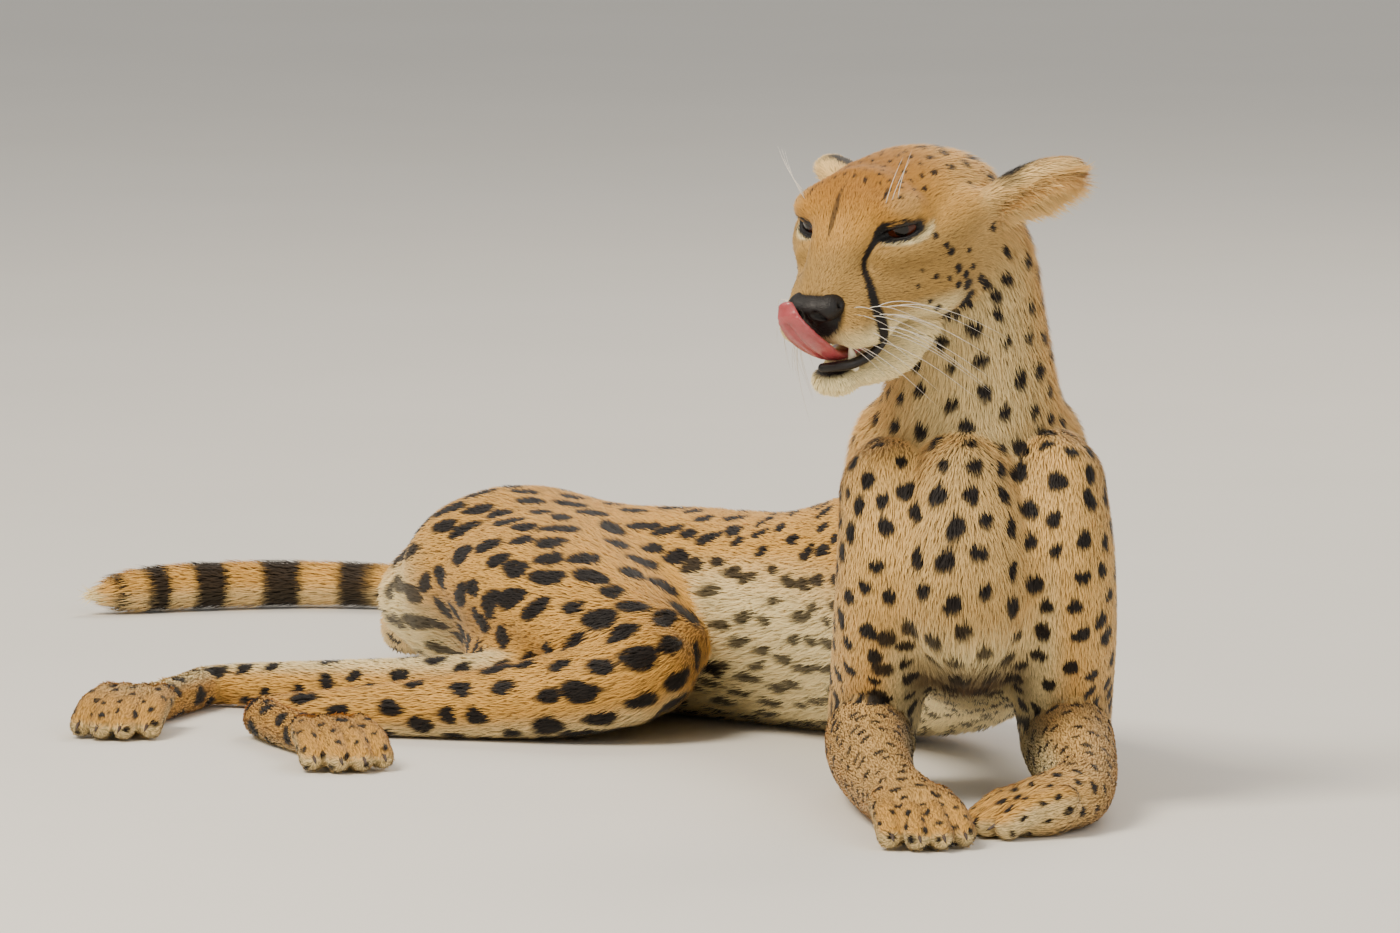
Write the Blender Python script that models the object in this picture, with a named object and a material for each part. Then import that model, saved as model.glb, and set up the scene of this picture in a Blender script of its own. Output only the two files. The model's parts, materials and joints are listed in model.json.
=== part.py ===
"""A resting cheetah, life size, as a still museum model.

The cheetah lies on its chest with the hips rolled over to its left. The chest looks
along -Y, the trunk runs back and towards -X, and the head is turned to the animal's
right, licking its nose. Metres, +Z up, and the floor is Z = 0. The forms are drawn from
a point on the floor under the breastbone; the finished pieces are moved so that the
origin lies on the floor under the middle of the whole animal.

The body is one soft-blended form: tubes that follow the skeleton and ellipsoids for the
muscles, all measured to the tips of the coat. It is meshed once, thinned, laid flat
where it touches the floor and then parted into named pieces with thin cuts.
"""

import math

import bmesh
import bpy
import numpy as np
from mathutils import Matrix, Vector

# ---------------------------------------------------------------- driving dimensions
GAP = 0.0004            # thin cut between neighbouring pieces
CELL = 0.0065           # mesh spacing of the body
FINE_CELL = 0.0036      # mesh spacing of the head and the paws
SMALL_CELL = 0.0016     # mesh spacing of the nose and the tongue
BODY_TRIANGLES = 3000   # triangles kept in the whole body
SPARED_REACH = 0.075    # how far round the face, ears and paws the mesh stays finer
SHOULDER_LEAN = 0.129   # how far the inner face of a shoulder leans outwards as it rises

HEAD_CENTRE = (-0.0745, -0.085, 0.403)   # midway between the eyes
HEAD_YAW = math.radians(34.0)            # turned to the animal's right
HEAD_PITCH = math.radians(17.0)          # nose down
EYE_RADIUS = 0.0163
FAR = 1.0

UP = np.array((0.0, 0.0, 1.0))


# ---------------------------------------------------------------- small vector helpers
def unit(vector):
    vector = np.asarray(vector, float)
    return vector / np.linalg.norm(vector, axis=-1, keepdims=True)


def head_axes():
    """Forward, left and up of the head."""
    level = np.array((-math.sin(HEAD_YAW), -math.cos(HEAD_YAW), 0.0))
    forward = math.cos(HEAD_PITCH) * level - math.sin(HEAD_PITCH) * UP
    left = np.cross(UP, level)
    return np.array((forward, left, np.cross(forward, left)))


HEAD_AXES = head_axes()


def head_point(forward, left, up):
    """A point given in millimetres from the midpoint of the eyes."""
    return np.array(HEAD_CENTRE) + np.array((forward, left, up)) @ HEAD_AXES / 1000.0


def catmull(rows, steps):
    """A smooth curve through rows of numbers, with steps spans between two of them."""
    rows = np.asarray(rows, float)
    ends = np.vstack((2 * rows[0] - rows[1], rows, 2 * rows[-1] - rows[-2]))
    curve = []
    for i in range(1, len(ends) - 2):
        p0, p1, p2, p3 = ends[i - 1:i + 3]
        for t in np.arange(steps) / steps:
            curve.append(0.5 * (2 * p1 + (p2 - p0) * t + (2 * p0 - 5 * p1 + 4 * p2 - p3) * t * t
                                + (3 * p1 - p0 - 3 * p2 + p3) * t ** 3))
    curve.append(rows[-1])
    return np.array(curve)


# ---------------------------------------------------------------- forms of the body
class Tube:
    """A limb: a curve with an elliptical section that may turn and taper."""

    def __init__(self, rows, sides, blend, steps=3, cut=False):
        """rows hold x, y, z, half width and half depth; sides point along the width."""
        sides = np.broadcast_to(np.asarray(sides, float), (len(rows), 3))
        curve = catmull(np.hstack((np.asarray(rows, float), sides)), steps)
        self.points = curve[:, :3]
        self.radii = np.maximum(curve[:, 3:5], 0.0008)
        self.sides = curve[:, 5:8]
        self.blend = blend
        self.cut = cut
        reach = self.radii.max() + blend + 0.03
        self.low = self.points.min(axis=0) - reach
        self.high = self.points.max(axis=0) + reach

    def distance(self, p):
        best = np.full(len(p), FAR)
        for i in range(len(self.points) - 1):
            a, b = self.points[i], self.points[i + 1]
            run = b - a
            reach = np.abs(run) / 2 + self.radii[i:i + 2].max() + self.blend + 0.03
            near = np.flatnonzero(np.all(np.abs(p - (a + b) / 2) < reach, axis=1))
            tangent = unit(run)
            offset = p[near] - a
            t = np.clip(offset @ run / (run @ run), 0.0, 1.0)[:, None]
            q = offset - t * run
            side = self.sides[i] + t * (self.sides[i + 1] - self.sides[i])
            side = unit(side - (side @ tangent)[:, None] * tangent)
            radii = self.radii[i] + t * (self.radii[i + 1] - self.radii[i])
            local = np.stack((np.sum(q * side, axis=1),
                              np.sum(q * np.cross(tangent, side), axis=1), q @ tangent), axis=1)
            axes = np.column_stack((radii, radii.min(axis=1)))
            best[near] = np.minimum(best[near], ellipse_distance(local, axes))
        return best


class Blob:
    """A muscle or pad: an ellipsoid with its own axes."""

    def __init__(self, centre, radii, axes=np.eye(3), blend=0.02, cut=False):
        self.centre = np.asarray(centre, float)
        self.radii = np.asarray(radii, float)
        self.axes = np.asarray(axes, float)
        self.blend = blend
        self.cut = cut
        reach = self.radii.max() + blend + 0.03
        self.low = self.centre - reach
        self.high = self.centre + reach

    def distance(self, p):
        return ellipse_distance((p - self.centre) @ self.axes.T, self.radii)


def ellipse_distance(local, radii):
    """Close distance to an ellipsoid, negative inside."""
    first = np.linalg.norm(local / radii, axis=1)
    second = np.linalg.norm(local / radii ** 2, axis=1)
    return first * (first - 1.0) / np.maximum(second, 1e-9)


def body_distance(forms, p):
    """Distance to the blended body; each form is added to, or cut from, those before it."""
    total = np.full(len(p), FAR)
    for form in forms:
        near = np.flatnonzero(np.all((p > form.low) & (p < form.high), axis=1))
        if len(near) == 0:
            continue
        before = total[near]
        now = form.distance(p[near])
        if form.cut:
            overlap = np.maximum(form.blend - np.abs(before + now), 0.0) / form.blend
            total[near] = np.maximum(before, -now) + overlap ** 2 * form.blend / 4.0
        else:
            overlap = np.maximum(form.blend - np.abs(before - now), 0.0) / form.blend
            total[near] = np.minimum(before, now) - overlap ** 2 * form.blend / 4.0
    return total


def head_blob(centre, radii, blend=12, turn=0.0, cut=False):
    """An ellipsoid in head millimetres, its length turned outwards by turn degrees."""
    angle = math.radians(turn)
    turned = np.array(((math.cos(angle), math.sin(angle), 0.0),
                       (-math.sin(angle), math.cos(angle), 0.0), (0.0, 0.0, 1.0))) @ HEAD_AXES
    return Blob(head_point(*centre), np.array(radii) / 1000.0, turned, blend / 1000.0, cut)


def head_tube(rows, blend=12, side=1, cut=False):
    """A tube in head millimetres; side picks the head axis that its width follows."""
    world = [(*head_point(*row[:3]), row[3] / 1000.0, row[4] / 1000.0) for row in rows]
    return Tube(world, HEAD_AXES[side], blend / 1000.0, cut=cut)


# ---------------------------------------------------------------- trunk, neck and tail
# x, y, z, half width, half depth, and the roll of the back away from upright in degrees
SPINE = ((0.004, -0.080, 0.156, 0.044, 0.060, 0),
         (0.006, -0.020, 0.166, 0.064, 0.092, 0),
         (0.012, 0.075, 0.154, 0.078, 0.100, 3),
         (0.008, 0.180, 0.130, 0.078, 0.099, 14),
         (-0.026, 0.285, 0.099, 0.074, 0.098, 34),
         (-0.090, 0.385, 0.079, 0.074, 0.096, 54),
         (-0.172, 0.475, 0.0755, 0.076, 0.088, 66),
         (-0.256, 0.552, 0.074, 0.072, 0.078, 72),
         (-0.330, 0.605, 0.074, 0.066, 0.064, 72),
         (-0.374, 0.650, 0.066, 0.036, 0.038, 72))

NECK = ((-0.012, -0.020, 0.405, 0.050, 0.054),
        (0.003, -0.012, 0.372, 0.053, 0.058),
        (0.007, -0.010, 0.335, 0.056, 0.062),
        (0.009, -0.008, 0.300, 0.060, 0.066),
        (0.008, 0.000, 0.260, 0.068, 0.074),
        (0.006, 0.020, 0.215, 0.072, 0.080))

TAIL = ((-0.372, 0.640, 0.076, 0.027, 0.027),
        (-0.392, 0.710, 0.046, 0.021, 0.021),
        (-0.394, 0.790, 0.025, 0.0195, 0.0195),
        (-0.366, 0.885, 0.018, 0.019, 0.019),
        (-0.334, 0.980, 0.018, 0.019, 0.019),
        (-0.334, 1.070, 0.018, 0.019, 0.019),
        (-0.385, 1.140, 0.0180, 0.0195, 0.0195),
        (-0.470, 1.165, 0.0185, 0.0205, 0.0205),
        (-0.550, 1.150, 0.0190, 0.0210, 0.0210),
        (-0.602, 1.130, 0.0175, 0.019, 0.019),
        (-0.624, 1.120, 0.016, 0.012, 0.012))


def trunk_forms():
    """The barrel of the chest, the loin and the hips, with the shoulder blades on them."""
    rows = np.array(SPINE)
    tangents = unit(np.gradient(rows[:, :3], axis=0))
    level_side = unit(np.cross(tangents, UP))
    back = np.cross(level_side, tangents)
    roll = np.radians(rows[:, 5:6])
    sides = np.cos(roll) * level_side + np.sin(roll) * back
    forms = [Tube(rows[:, :5], sides, blend=0.02)]
    for side in (-1, 1):
        forms.append(Blob((0.006 + side * 0.056, 0.025, 0.208), (0.030, 0.060, 0.062), blend=0.03))
    forms.append(Blob((0.000, -0.080, 0.190), (0.046, 0.040, 0.072), blend=0.025))
    forms.append(Blob((-0.318, 0.575, 0.098), (0.072, 0.070, 0.054), blend=0.03))
    return forms


def neck_forms():
    forms = [Tube(NECK, (1.0, 0.0, 0.0), blend=0.03)]
    forms.append(Blob((0.014, 0.045, 0.245), (0.042, 0.055, 0.038), blend=0.03))
    return forms


def tail_forms():
    return [Tube(TAIL, UP, blend=0.025, steps=4)]


# ---------------------------------------------------------------- head
def head_forms():
    """Skull, brows, cheeks, muzzle and whisker pads."""
    forms = [head_blob((-42, 0, -4), (54, 54, 39), blend=25)]
    forms.append(head_blob((-76, 0, -11), (38, 58, 38), blend=12))
    forms.append(head_blob((-15, 0, 7), (27, 38, 31), blend=10))
    forms.append(head_tube(((-4, 0, 8, 27, 18), (18, 0, -5, 23, 15), (38, 0, -22, 20, 14),
                            (54, 0, -36, 17, 13)), blend=12))
    forms.append(head_blob((42, 0, -46), (21, 26, 22), blend=10))
    forms.append(head_blob((8, 0, -28), (36, 23, 22), blend=8))
    for side in (-1, 1):
        forms.append(head_blob((-8, side * 31, 13), (17, 17, 11), blend=12, turn=side * 31))
        forms.append(head_tube(((12, side * 30, -17, 12, 11), (-8, side * 45, -17, 12, 11),
                                (-34, side * 54, -12, 14, 14), (-58, side * 55, -8, 14, 16)),
                               blend=12))
        forms.append(head_tube(((34, side * 22, -38, 13, 16), (10, side * 33, -44, 15, 20),
                                (-20, side * 40, -46, 18, 24)), blend=14))
        forms.append(head_blob((-34, side * 43, -38), (32, 24, 32), blend=16, turn=side * 12))
        forms.append(head_blob((-60, side * 45, -36), (28, 25, 34), blend=18))
        forms.append(head_blob((40, side * 19, -53), (25, 16, 17.5), blend=9, turn=side * 22))
        forms.append(head_blob((28, side * 27, -59), (14, 10, 12), blend=14, turn=side * 24))
    return forms


def jaw_forms():
    forms = [head_tube(((50, 0, -90, 16, 10), (30, 0, -93, 26, 13), (4, 0, -92, 35, 18),
                        (-26, 0, -76, 41, 27)), blend=10)]
    forms.append(head_blob((51, 0, -91), (16, 19, 12), blend=7))
    return forms


def mouth_cut():
    """The opening between the lips, widest in front."""
    return [head_tube(((88, 0, -77, 30, 5.0), (58, 0, -77, 28, 4.8), (42, 0, -76, 28, 3.4),
                       (30, 0, -70, 31, 1.4)), blend=4, cut=True)]


EYE_TURN = math.radians(31)      # how far each eye looks outwards
EYE_PLACE = (-14, 31.5, 0)       # middle of the left eyeball
LID_TILT = 0.11                  # rise of the slit towards its outer corner


def eye_axes(side):
    """Gaze, slit and upward directions of one eye, in head axes."""
    gaze = np.array((math.cos(EYE_TURN), side * math.sin(EYE_TURN), 0.0))
    slit = unit((-math.sin(EYE_TURN), side * math.cos(EYE_TURN), LID_TILT))
    return np.array((gaze, slit, np.cross(gaze, slit) * side))


def eye_forms():
    """Lids bulging over each eyeball; the slit and the socket are cut later."""
    forms = []
    for side in (-1, 1):
        centre = np.array(EYE_PLACE) * (1, side, 1)
        forms.append(Blob(head_point(*centre), (0.0196, 0.0200, 0.0190),
                          eye_axes(side) @ HEAD_AXES, blend=0.008))
    return forms


# base, direction and opening of each ear: the left one sideways, the right one laid back
EARS = {"left": ((-80, 66, -9), (-0.45, 0.84, 0.30), (0.42, 0.42, -0.80)),
        "right": ((-86, -58, -10), (-0.80, -0.56, -0.20), (0.50, -0.60, -0.62))}


def ear_frame(name):
    """Middle of an ear in head millimetres and its length, width and opening directions."""
    base, along, opening = EARS[name]
    along = unit(along)
    opening = unit(np.array(opening) - np.dot(opening, along) * along)
    return np.array(base) + along * 26, np.array((along, np.cross(along, opening), opening))


def ear_forms():
    """Each ear is a short rounded cup."""
    forms = []
    for name in EARS:
        middle, frame = ear_frame(name)
        axes = frame @ HEAD_AXES
        forms.append(Blob(head_point(*middle), (0.040, 0.0285, 0.0145), axes, blend=0.014))
        hollow = middle + frame[0] * 3 + frame[2] * 9
        forms.append(Blob(head_point(*hollow), (0.034, 0.0235, 0.0150), axes, blend=0.003,
                          cut=True))
    return forms


# ---------------------------------------------------------------- legs
RIGHT_FORE = ((-0.050, -0.035, 0.215, 0.036, 0.054), (-0.050, -0.050, 0.175, 0.038, 0.050),
              (-0.052, -0.030, 0.125, 0.038, 0.046), (-0.056, 0.020, 0.078, 0.036, 0.042),
              (-0.060, 0.040, 0.042, 0.034, 0.044), (-0.062, -0.020, 0.038, 0.033, 0.040),
              (-0.058, -0.100, 0.032, 0.028, 0.034), (-0.050, -0.165, 0.026, 0.024, 0.028),
              (-0.042, -0.205, 0.023, 0.027, 0.025), (-0.034, -0.238, 0.020, 0.031, 0.022))

LEFT_FORE = ((0.066, -0.035, 0.220, 0.037, 0.054), (0.069, -0.050, 0.178, 0.040, 0.051),
             (0.070, -0.030, 0.125, 0.041, 0.048), (0.072, 0.020, 0.078, 0.038, 0.043),
             (0.074, 0.040, 0.042, 0.035, 0.044), (0.077, -0.020, 0.038, 0.033, 0.040),
             (0.082, -0.095, 0.031, 0.028, 0.033), (0.083, -0.142, 0.026, 0.024, 0.028),
             (0.074, -0.178, 0.023, 0.027, 0.025), (0.054, -0.203, 0.020, 0.030, 0.022))

RIGHT_HIND = ((-0.300, 0.580, 0.094, 0.056, 0.080), (-0.272, 0.480, 0.092, 0.056, 0.086),
              (-0.242, 0.390, 0.078, 0.048, 0.072), (-0.222, 0.325, 0.054, 0.040, 0.045),
              (-0.268, 0.318, 0.036, 0.034, 0.036), (-0.350, 0.338, 0.024, 0.026, 0.028),
              (-0.440, 0.358, 0.017, 0.019, 0.020), (-0.486, 0.352, 0.015, 0.0175, 0.019),
              (-0.478, 0.300, 0.015, 0.0170, 0.016), (-0.452, 0.230, 0.015, 0.0175, 0.015),
              (-0.436, 0.190, 0.016, 0.018, 0.024))

LEFT_HIND = ((-0.260, 0.600, 0.046, 0.048, 0.074), (-0.280, 0.510, 0.042, 0.044, 0.070),
             (-0.292, 0.430, 0.036, 0.038, 0.055), (-0.300, 0.392, 0.030, 0.032, 0.038),
             (-0.352, 0.412, 0.026, 0.028, 0.031), (-0.430, 0.470, 0.021, 0.023, 0.024),
             (-0.500, 0.522, 0.017, 0.019, 0.019), (-0.532, 0.532, 0.015, 0.0175, 0.018),
             (-0.548, 0.490, 0.015, 0.0170, 0.016), (-0.572, 0.420, 0.015, 0.0175, 0.015),
             (-0.584, 0.380, 0.016, 0.018, 0.024))

# knuckle, direction of the toes, length of the toes
FEET = {"fore_right": ((-0.034, -0.238, 0.020), (0.16, -0.98, 0.0), 0.070),
        "fore_left": ((0.052, -0.204, 0.020), (-0.93, -0.36, 0.0), 0.052),
        "hind_right": ((-0.436, 0.190, 0.018), (0.22, -0.97, 0.0), 0.066),
        "hind_left": ((-0.584, 0.380, 0.018), (-0.22, -0.97, 0.0), 0.066)}
TOE_SPACING = 0.0165
TOE_SIZE = 0.0122


def toe_rows(knuckle, forward, length, place):
    """One toe: over the knuckle, forward, and down to the claw; place runs -1.5 to 1.5."""
    forward = unit(forward)
    across = np.cross(UP, forward)
    reach = length * (1.0 - 0.11 * abs(place) ** 1.5)
    start = np.array(knuckle) + across * place * TOE_SPACING * 0.8 - forward * 0.012
    middle = start + forward * (0.012 + reach * 0.42) + across * place * 0.0022
    end = start + forward * (0.004 + reach) + across * place * 0.0035
    rows = []
    for point, height, size in ((start, knuckle[2] + 0.006, 0.95), (middle, 0.020, 1.0),
                                (end, 0.0100, 0.92)):
        rows.append((point[0], point[1], height, TOE_SIZE * size * 0.92, TOE_SIZE * size))
    return rows


def leg_forms():
    """Four legs to the knuckles, then four toes and a pad each."""
    forms = [Tube(RIGHT_FORE, (1.0, 0.0, 0.0), blend=0.018),
             Tube(LEFT_FORE, (1.0, 0.0, 0.0), blend=0.018),
             Tube(LEFT_HIND, UP, blend=0.02),
             Tube(RIGHT_HIND, UP, blend=0.02)]
    for knuckle, forward, length in FEET.values():
        forward = unit(forward)
        across = np.cross(UP, forward)
        axes = np.array((forward, across, UP))
        pad = np.array((knuckle[0], knuckle[1], 0.011)) + forward * 0.010
        forms.append(Blob(pad, (0.028, 0.027, 0.014), axes, blend=0.010))
        for place in (-1.5, -0.5, 0.5, 1.5):
            toe = toe_rows(knuckle, forward, length, place)
            forms.append(Tube(toe, across, blend=0.0055))
    return forms


def all_forms():
    forms = trunk_forms() + neck_forms() + tail_forms() + leg_forms()
    forms += head_forms() + jaw_forms() + ear_forms() + mouth_cut() + eye_forms()
    return forms


# ---------------------------------------------------------------- meshing
def grid_line(low, high, fine_zones):
    """Positions along one axis, close together inside the fine zones."""
    places = [low]
    while places[-1] < high:
        here = places[-1]
        fine = any(a - 0.01 < here < b + 0.01 for a, b in fine_zones)
        places.append(here + (FINE_CELL if fine else CELL))
    return np.array(places)


def stretch(values, counts, lines, picks):
    """Spreads a coarse grid of values over the full grid, by straight lines between them."""
    for axis in range(3):
        place = np.interp(lines[axis], lines[axis][picks[axis]], np.arange(counts[axis]))
        below = np.minimum(place.astype(int), counts[axis] - 2)
        share = (place - below).reshape([-1 if k == axis else 1 for k in range(3)])
        values = (np.take(values, below, axis) * (1.0 - share)
                  + np.take(values, below + 1, axis) * share)
    return values


def sample_grid(forms, lines):
    """Distances on the grid: on every third line first, then closely near the surface."""
    picks = [np.unique(np.append(np.arange(0, len(line), 3), len(line) - 1)) for line in lines]
    counts = [len(pick) for pick in picks]
    points = np.stack(np.meshgrid(*(line[pick] for line, pick in zip(lines, picks)),
                                  indexing="ij"), axis=-1)
    coarse = body_distance(forms, points.reshape(-1, 3)).reshape(counts)
    values = stretch(coarse, counts, lines, picks)
    close = np.nonzero(np.abs(values) < 2.2 * CELL)
    points = np.stack([line[index] for line, index in zip(lines, close)], axis=-1)
    values[close] = body_distance(forms, points)
    return values


def surface_net(values, lines):
    """Quads of the zero surface: one vertex in each cell that the surface crosses."""
    inside = values < 0.0
    shape = np.array(values.shape) - 1
    totals = np.zeros((*shape, 3))
    counts = np.zeros(shape)
    crossings = []
    for axis in range(3):
        first = [slice(None)] * 3
        second = [slice(None)] * 3
        first[axis] = slice(0, -1)
        second[axis] = slice(1, None)
        va, vb = values[tuple(first)], values[tuple(second)]
        crossed = np.stack(np.nonzero(inside[tuple(first)] != inside[tuple(second)]), axis=1)
        a = va[tuple(crossed.T)]
        b = vb[tuple(crossed.T)]
        share = a / (a - b)
        points = np.stack([line[crossed[:, k]] for k, line in enumerate(lines)], axis=1)
        line = lines[axis]
        points[:, axis] += share * (line[crossed[:, axis] + 1] - line[crossed[:, axis]])
        others = [k for k in range(3) if k != axis]
        for du in (0, 1):
            for dv in (0, 1):
                cell = crossed.copy()
                cell[:, others[0]] -= du
                cell[:, others[1]] -= dv
                np.add.at(totals, tuple(cell.T), points)
                np.add.at(counts, tuple(cell.T), 1)
        crossings.append((axis, crossed, a < 0.0))
    active = counts > 0
    index = np.full(active.shape, -1)
    index[active] = np.arange(active.sum())
    vertices = totals[active] / counts[active][:, None]
    quads = []
    for axis, crossed, leaving in crossings:
        u, v = (axis + 1) % 3, (axis + 2) % 3
        corners = []
        for du, dv in ((1, 1), (0, 1), (0, 0), (1, 0)):
            cell = crossed.copy()
            cell[:, u] -= du
            cell[:, v] -= dv
            corners.append(index[tuple(cell.T)])
        quad = np.stack(corners, axis=1)
        quad[~leaving] = quad[~leaving][:, ::-1]
        quads.append(quad)
    return vertices, np.vstack(quads)


def settle(forms, vertices):
    """Pulls the vertices onto the surface along its slope."""
    step = 0.0004
    for _ in range(2):
        value = body_distance(forms, vertices)
        slope = np.stack([body_distance(forms, vertices + step * axis) - value
                          for axis in np.eye(3)], axis=1) / step
        length = np.maximum(np.sum(slope ** 2, axis=1), 0.25)
        vertices = vertices - np.clip(value / length, -0.003, 0.003)[:, None] * slope
    return vertices


def form_mesh(forms, spacing):
    """A closed quad mesh of some small forms on an even grid."""
    low = np.min([form.low for form in forms if not form.cut], axis=0)
    high = np.max([form.high for form in forms if not form.cut], axis=0)
    lines = [np.arange(a, b, spacing) for a, b in zip(low, high)]
    return surface_net(sample_grid(forms, lines), lines)


def body_mesh():
    """The whole body as one closed quad mesh."""
    forms = all_forms()
    low = np.min([form.low for form in forms if not form.cut], axis=0)
    high = np.max([form.high for form in forms if not form.cut], axis=0)
    lines = [grid_line(low[0], high[0], ((-0.13, 0.09),)),
             grid_line(low[1], high[1], ((-0.31, 0.03),)),
             grid_line(max(low[2], -0.03), high[2], ((-0.01, 0.05), (0.30, 0.47)))]
    vertices, quads = surface_net(sample_grid(forms, lines), lines)
    return settle(forms, vertices), quads


# ---------------------------------------------------------------- Blender objects
def add_object(name, vertices, faces):
    mesh = bpy.data.meshes.new(name)
    mesh.from_pydata(np.asarray(vertices).tolist(), [], np.asarray(faces).tolist())
    thing = bpy.data.objects.new(name, mesh)
    bpy.context.scene.collection.objects.link(thing)
    return thing


def bake_modifiers(thing):
    """Replaces the mesh by what its modifiers make of it."""
    graph = bpy.context.evaluated_depsgraph_get()
    result = bpy.data.meshes.new_from_object(thing.evaluated_get(graph))
    thing.modifiers.clear()
    old = thing.data
    thing.data = result
    bpy.data.meshes.remove(old)


def boolean(thing, other, operation):
    cut = thing.modifiers.new(operation.title(), "BOOLEAN")
    cut.object = other
    cut.operation = operation
    cut.solver = "EXACT"
    bake_modifiers(thing)


def grow(thing, amount):
    """Moves every vertex outwards along its normal."""
    swell = thing.modifiers.new("Grow", "DISPLACE")
    swell.mid_level = 0.0
    swell.strength = amount
    bake_modifiers(thing)


def ball(name, centre, radii, axes=np.eye(3), fineness=3):
    """An ellipsoid with its own axes."""
    thing = bpy.data.objects.new(name, bpy.data.meshes.new(name))
    bpy.context.scene.collection.objects.link(thing)
    form = bmesh.new()
    bmesh.ops.create_icosphere(form, subdivisions=fineness, radius=1.0)
    turn = np.asarray(axes, float).T * np.asarray(radii, float)
    place = Matrix([[*row, offset] for row, offset in zip(turn.tolist(), centre)] + [[0, 0, 0, 1]])
    bmesh.ops.transform(form, matrix=place, verts=form.verts)
    if place.to_3x3().determinant() < 0:
        bmesh.ops.reverse_faces(form, faces=form.faces)
    form.to_mesh(thing.data)
    form.free()
    return thing


def block(name, centre, half_sizes, axes=np.eye(3)):
    """A box with its own axes."""
    thing = ball(name, (0.0, 0.0, 0.0), (1.0, 1.0, 1.0), fineness=1)
    form = bmesh.new()
    bmesh.ops.create_cube(form, size=2.0)
    turn = np.asarray(axes, float).T * np.asarray(half_sizes, float)
    place = Matrix([[*row, offset] for row, offset in zip(turn.tolist(), centre)] + [[0, 0, 0, 1]])
    bmesh.ops.transform(form, matrix=place, verts=form.verts)
    if place.to_3x3().determinant() < 0:
        bmesh.ops.reverse_faces(form, faces=form.faces)
    form.to_mesh(thing.data)
    form.free()
    return thing


def copy_of(thing, name):
    twin = bpy.data.objects.new(name, thing.data.copy())
    bpy.context.scene.collection.objects.link(twin)
    return twin


def part_off(body, name, cell):
    """Cuts the piece inside the cell off the body, with a thin gap between the two."""
    piece = copy_of(body, name)
    boolean(piece, cell, "INTERSECT")
    grow(cell, GAP)
    boolean(body, cell, "DIFFERENCE")
    bpy.data.objects.remove(cell)
    return piece


def mark_plain_parts(body):
    """A vertex group that spares the face and the paws when the body is thinned."""
    group = body.vertex_groups.new(name="plain")
    spared = [head_point(25, 0, -20)] + [np.array(foot[0]) for foot in FEET.values()]
    spared += [head_point(*ear_frame(name)[0]) for name in EARS]
    places = np.array([vertex.co for vertex in body.data.vertices])
    reach = np.min([np.linalg.norm(places - middle, axis=1) for middle in spared], axis=0)
    for index in np.flatnonzero(reach > SPARED_REACH):
        group.add([int(index)], 1.0, "REPLACE")
    for index in np.flatnonzero(reach <= SPARED_REACH):
        group.add([int(index)], 0.6, "REPLACE")
    return group.name


def whole_body():
    """The thinned body, standing flat on the floor."""
    vertices, quads = body_mesh()
    body = add_object("loin", vertices, quads)
    remesh = body.modifiers.new("Even mesh", "REMESH")
    remesh.mode = "VOXEL"
    remesh.voxel_size = FINE_CELL
    bake_modifiers(body)
    thin = body.modifiers.new("Thin out", "DECIMATE")
    thin.ratio = BODY_TRIANGLES / sum(len(face.vertices) - 2 for face in body.data.polygons)
    thin.vertex_group = mark_plain_parts(body)
    thin.vertex_group_factor = 1.0
    bake_modifiers(body)
    floor = block("floor_cut", (-0.25, 0.40, 0.5), (1.0, 1.2, 0.5))
    boolean(body, floor, "INTERSECT")
    bpy.data.objects.remove(floor)
    return body


def keep_largest(thing):
    """Removes the loose slivers that cuts leave beside a piece."""
    form = bmesh.new()
    form.from_mesh(thing.data)
    left = set(form.verts)
    groups = []
    while left:
        front = {left.pop()}
        group = set(front)
        while front:
            front = {edge.other_vert(vertex) for vertex in front for edge in vertex.link_edges}
            front -= group
            group |= front
        left -= group
        groups.append(group)
    groups.sort(key=len)
    for group in groups[:-1]:
        bmesh.ops.delete(form, geom=list(group), context="VERTS")
    form.to_mesh(thing.data)
    form.free()


def smooth_shaded(thing):
    thing.data.shade_smooth()
    thing.data.set_sharp_from_angle(angle=math.radians(40.0))


def form_object(name, forms, spacing, triangles):
    """A small piece of its own, meshed from its forms and thinned."""
    vertices, quads = form_mesh(forms, spacing)
    thing = add_object(name, vertices, quads)
    thin = thing.modifiers.new("Thin out", "DECIMATE")
    thin.ratio = triangles / (2.0 * len(quads))
    bake_modifiers(thing)
    return thing


def inlay(thing, hosts):
    """Lets a small piece into its hosts, with the thin gap all round."""
    room = copy_of(thing, thing.name + "_room")
    grow(room, GAP * 1.5)
    for host in hosts:
        boolean(host, room, "DIFFERENCE")
    bpy.data.objects.remove(room)


# ---------------------------------------------------------------- parting the body
def flat_axes(forward):
    """Axes of a level block whose length points forward."""
    forward = unit(forward)
    return np.array((forward, np.cross(UP, forward), UP))


def leaning_axes(side):
    """Axes of a block whose inner face leans outwards as it rises, as a shoulder does."""
    outward = unit((side, 0.0, -SHOULDER_LEAN))
    return np.array((outward, (0.0, 1.0, 0.0), np.cross(outward, (0.0, 1.0, 0.0)) * side))


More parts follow.
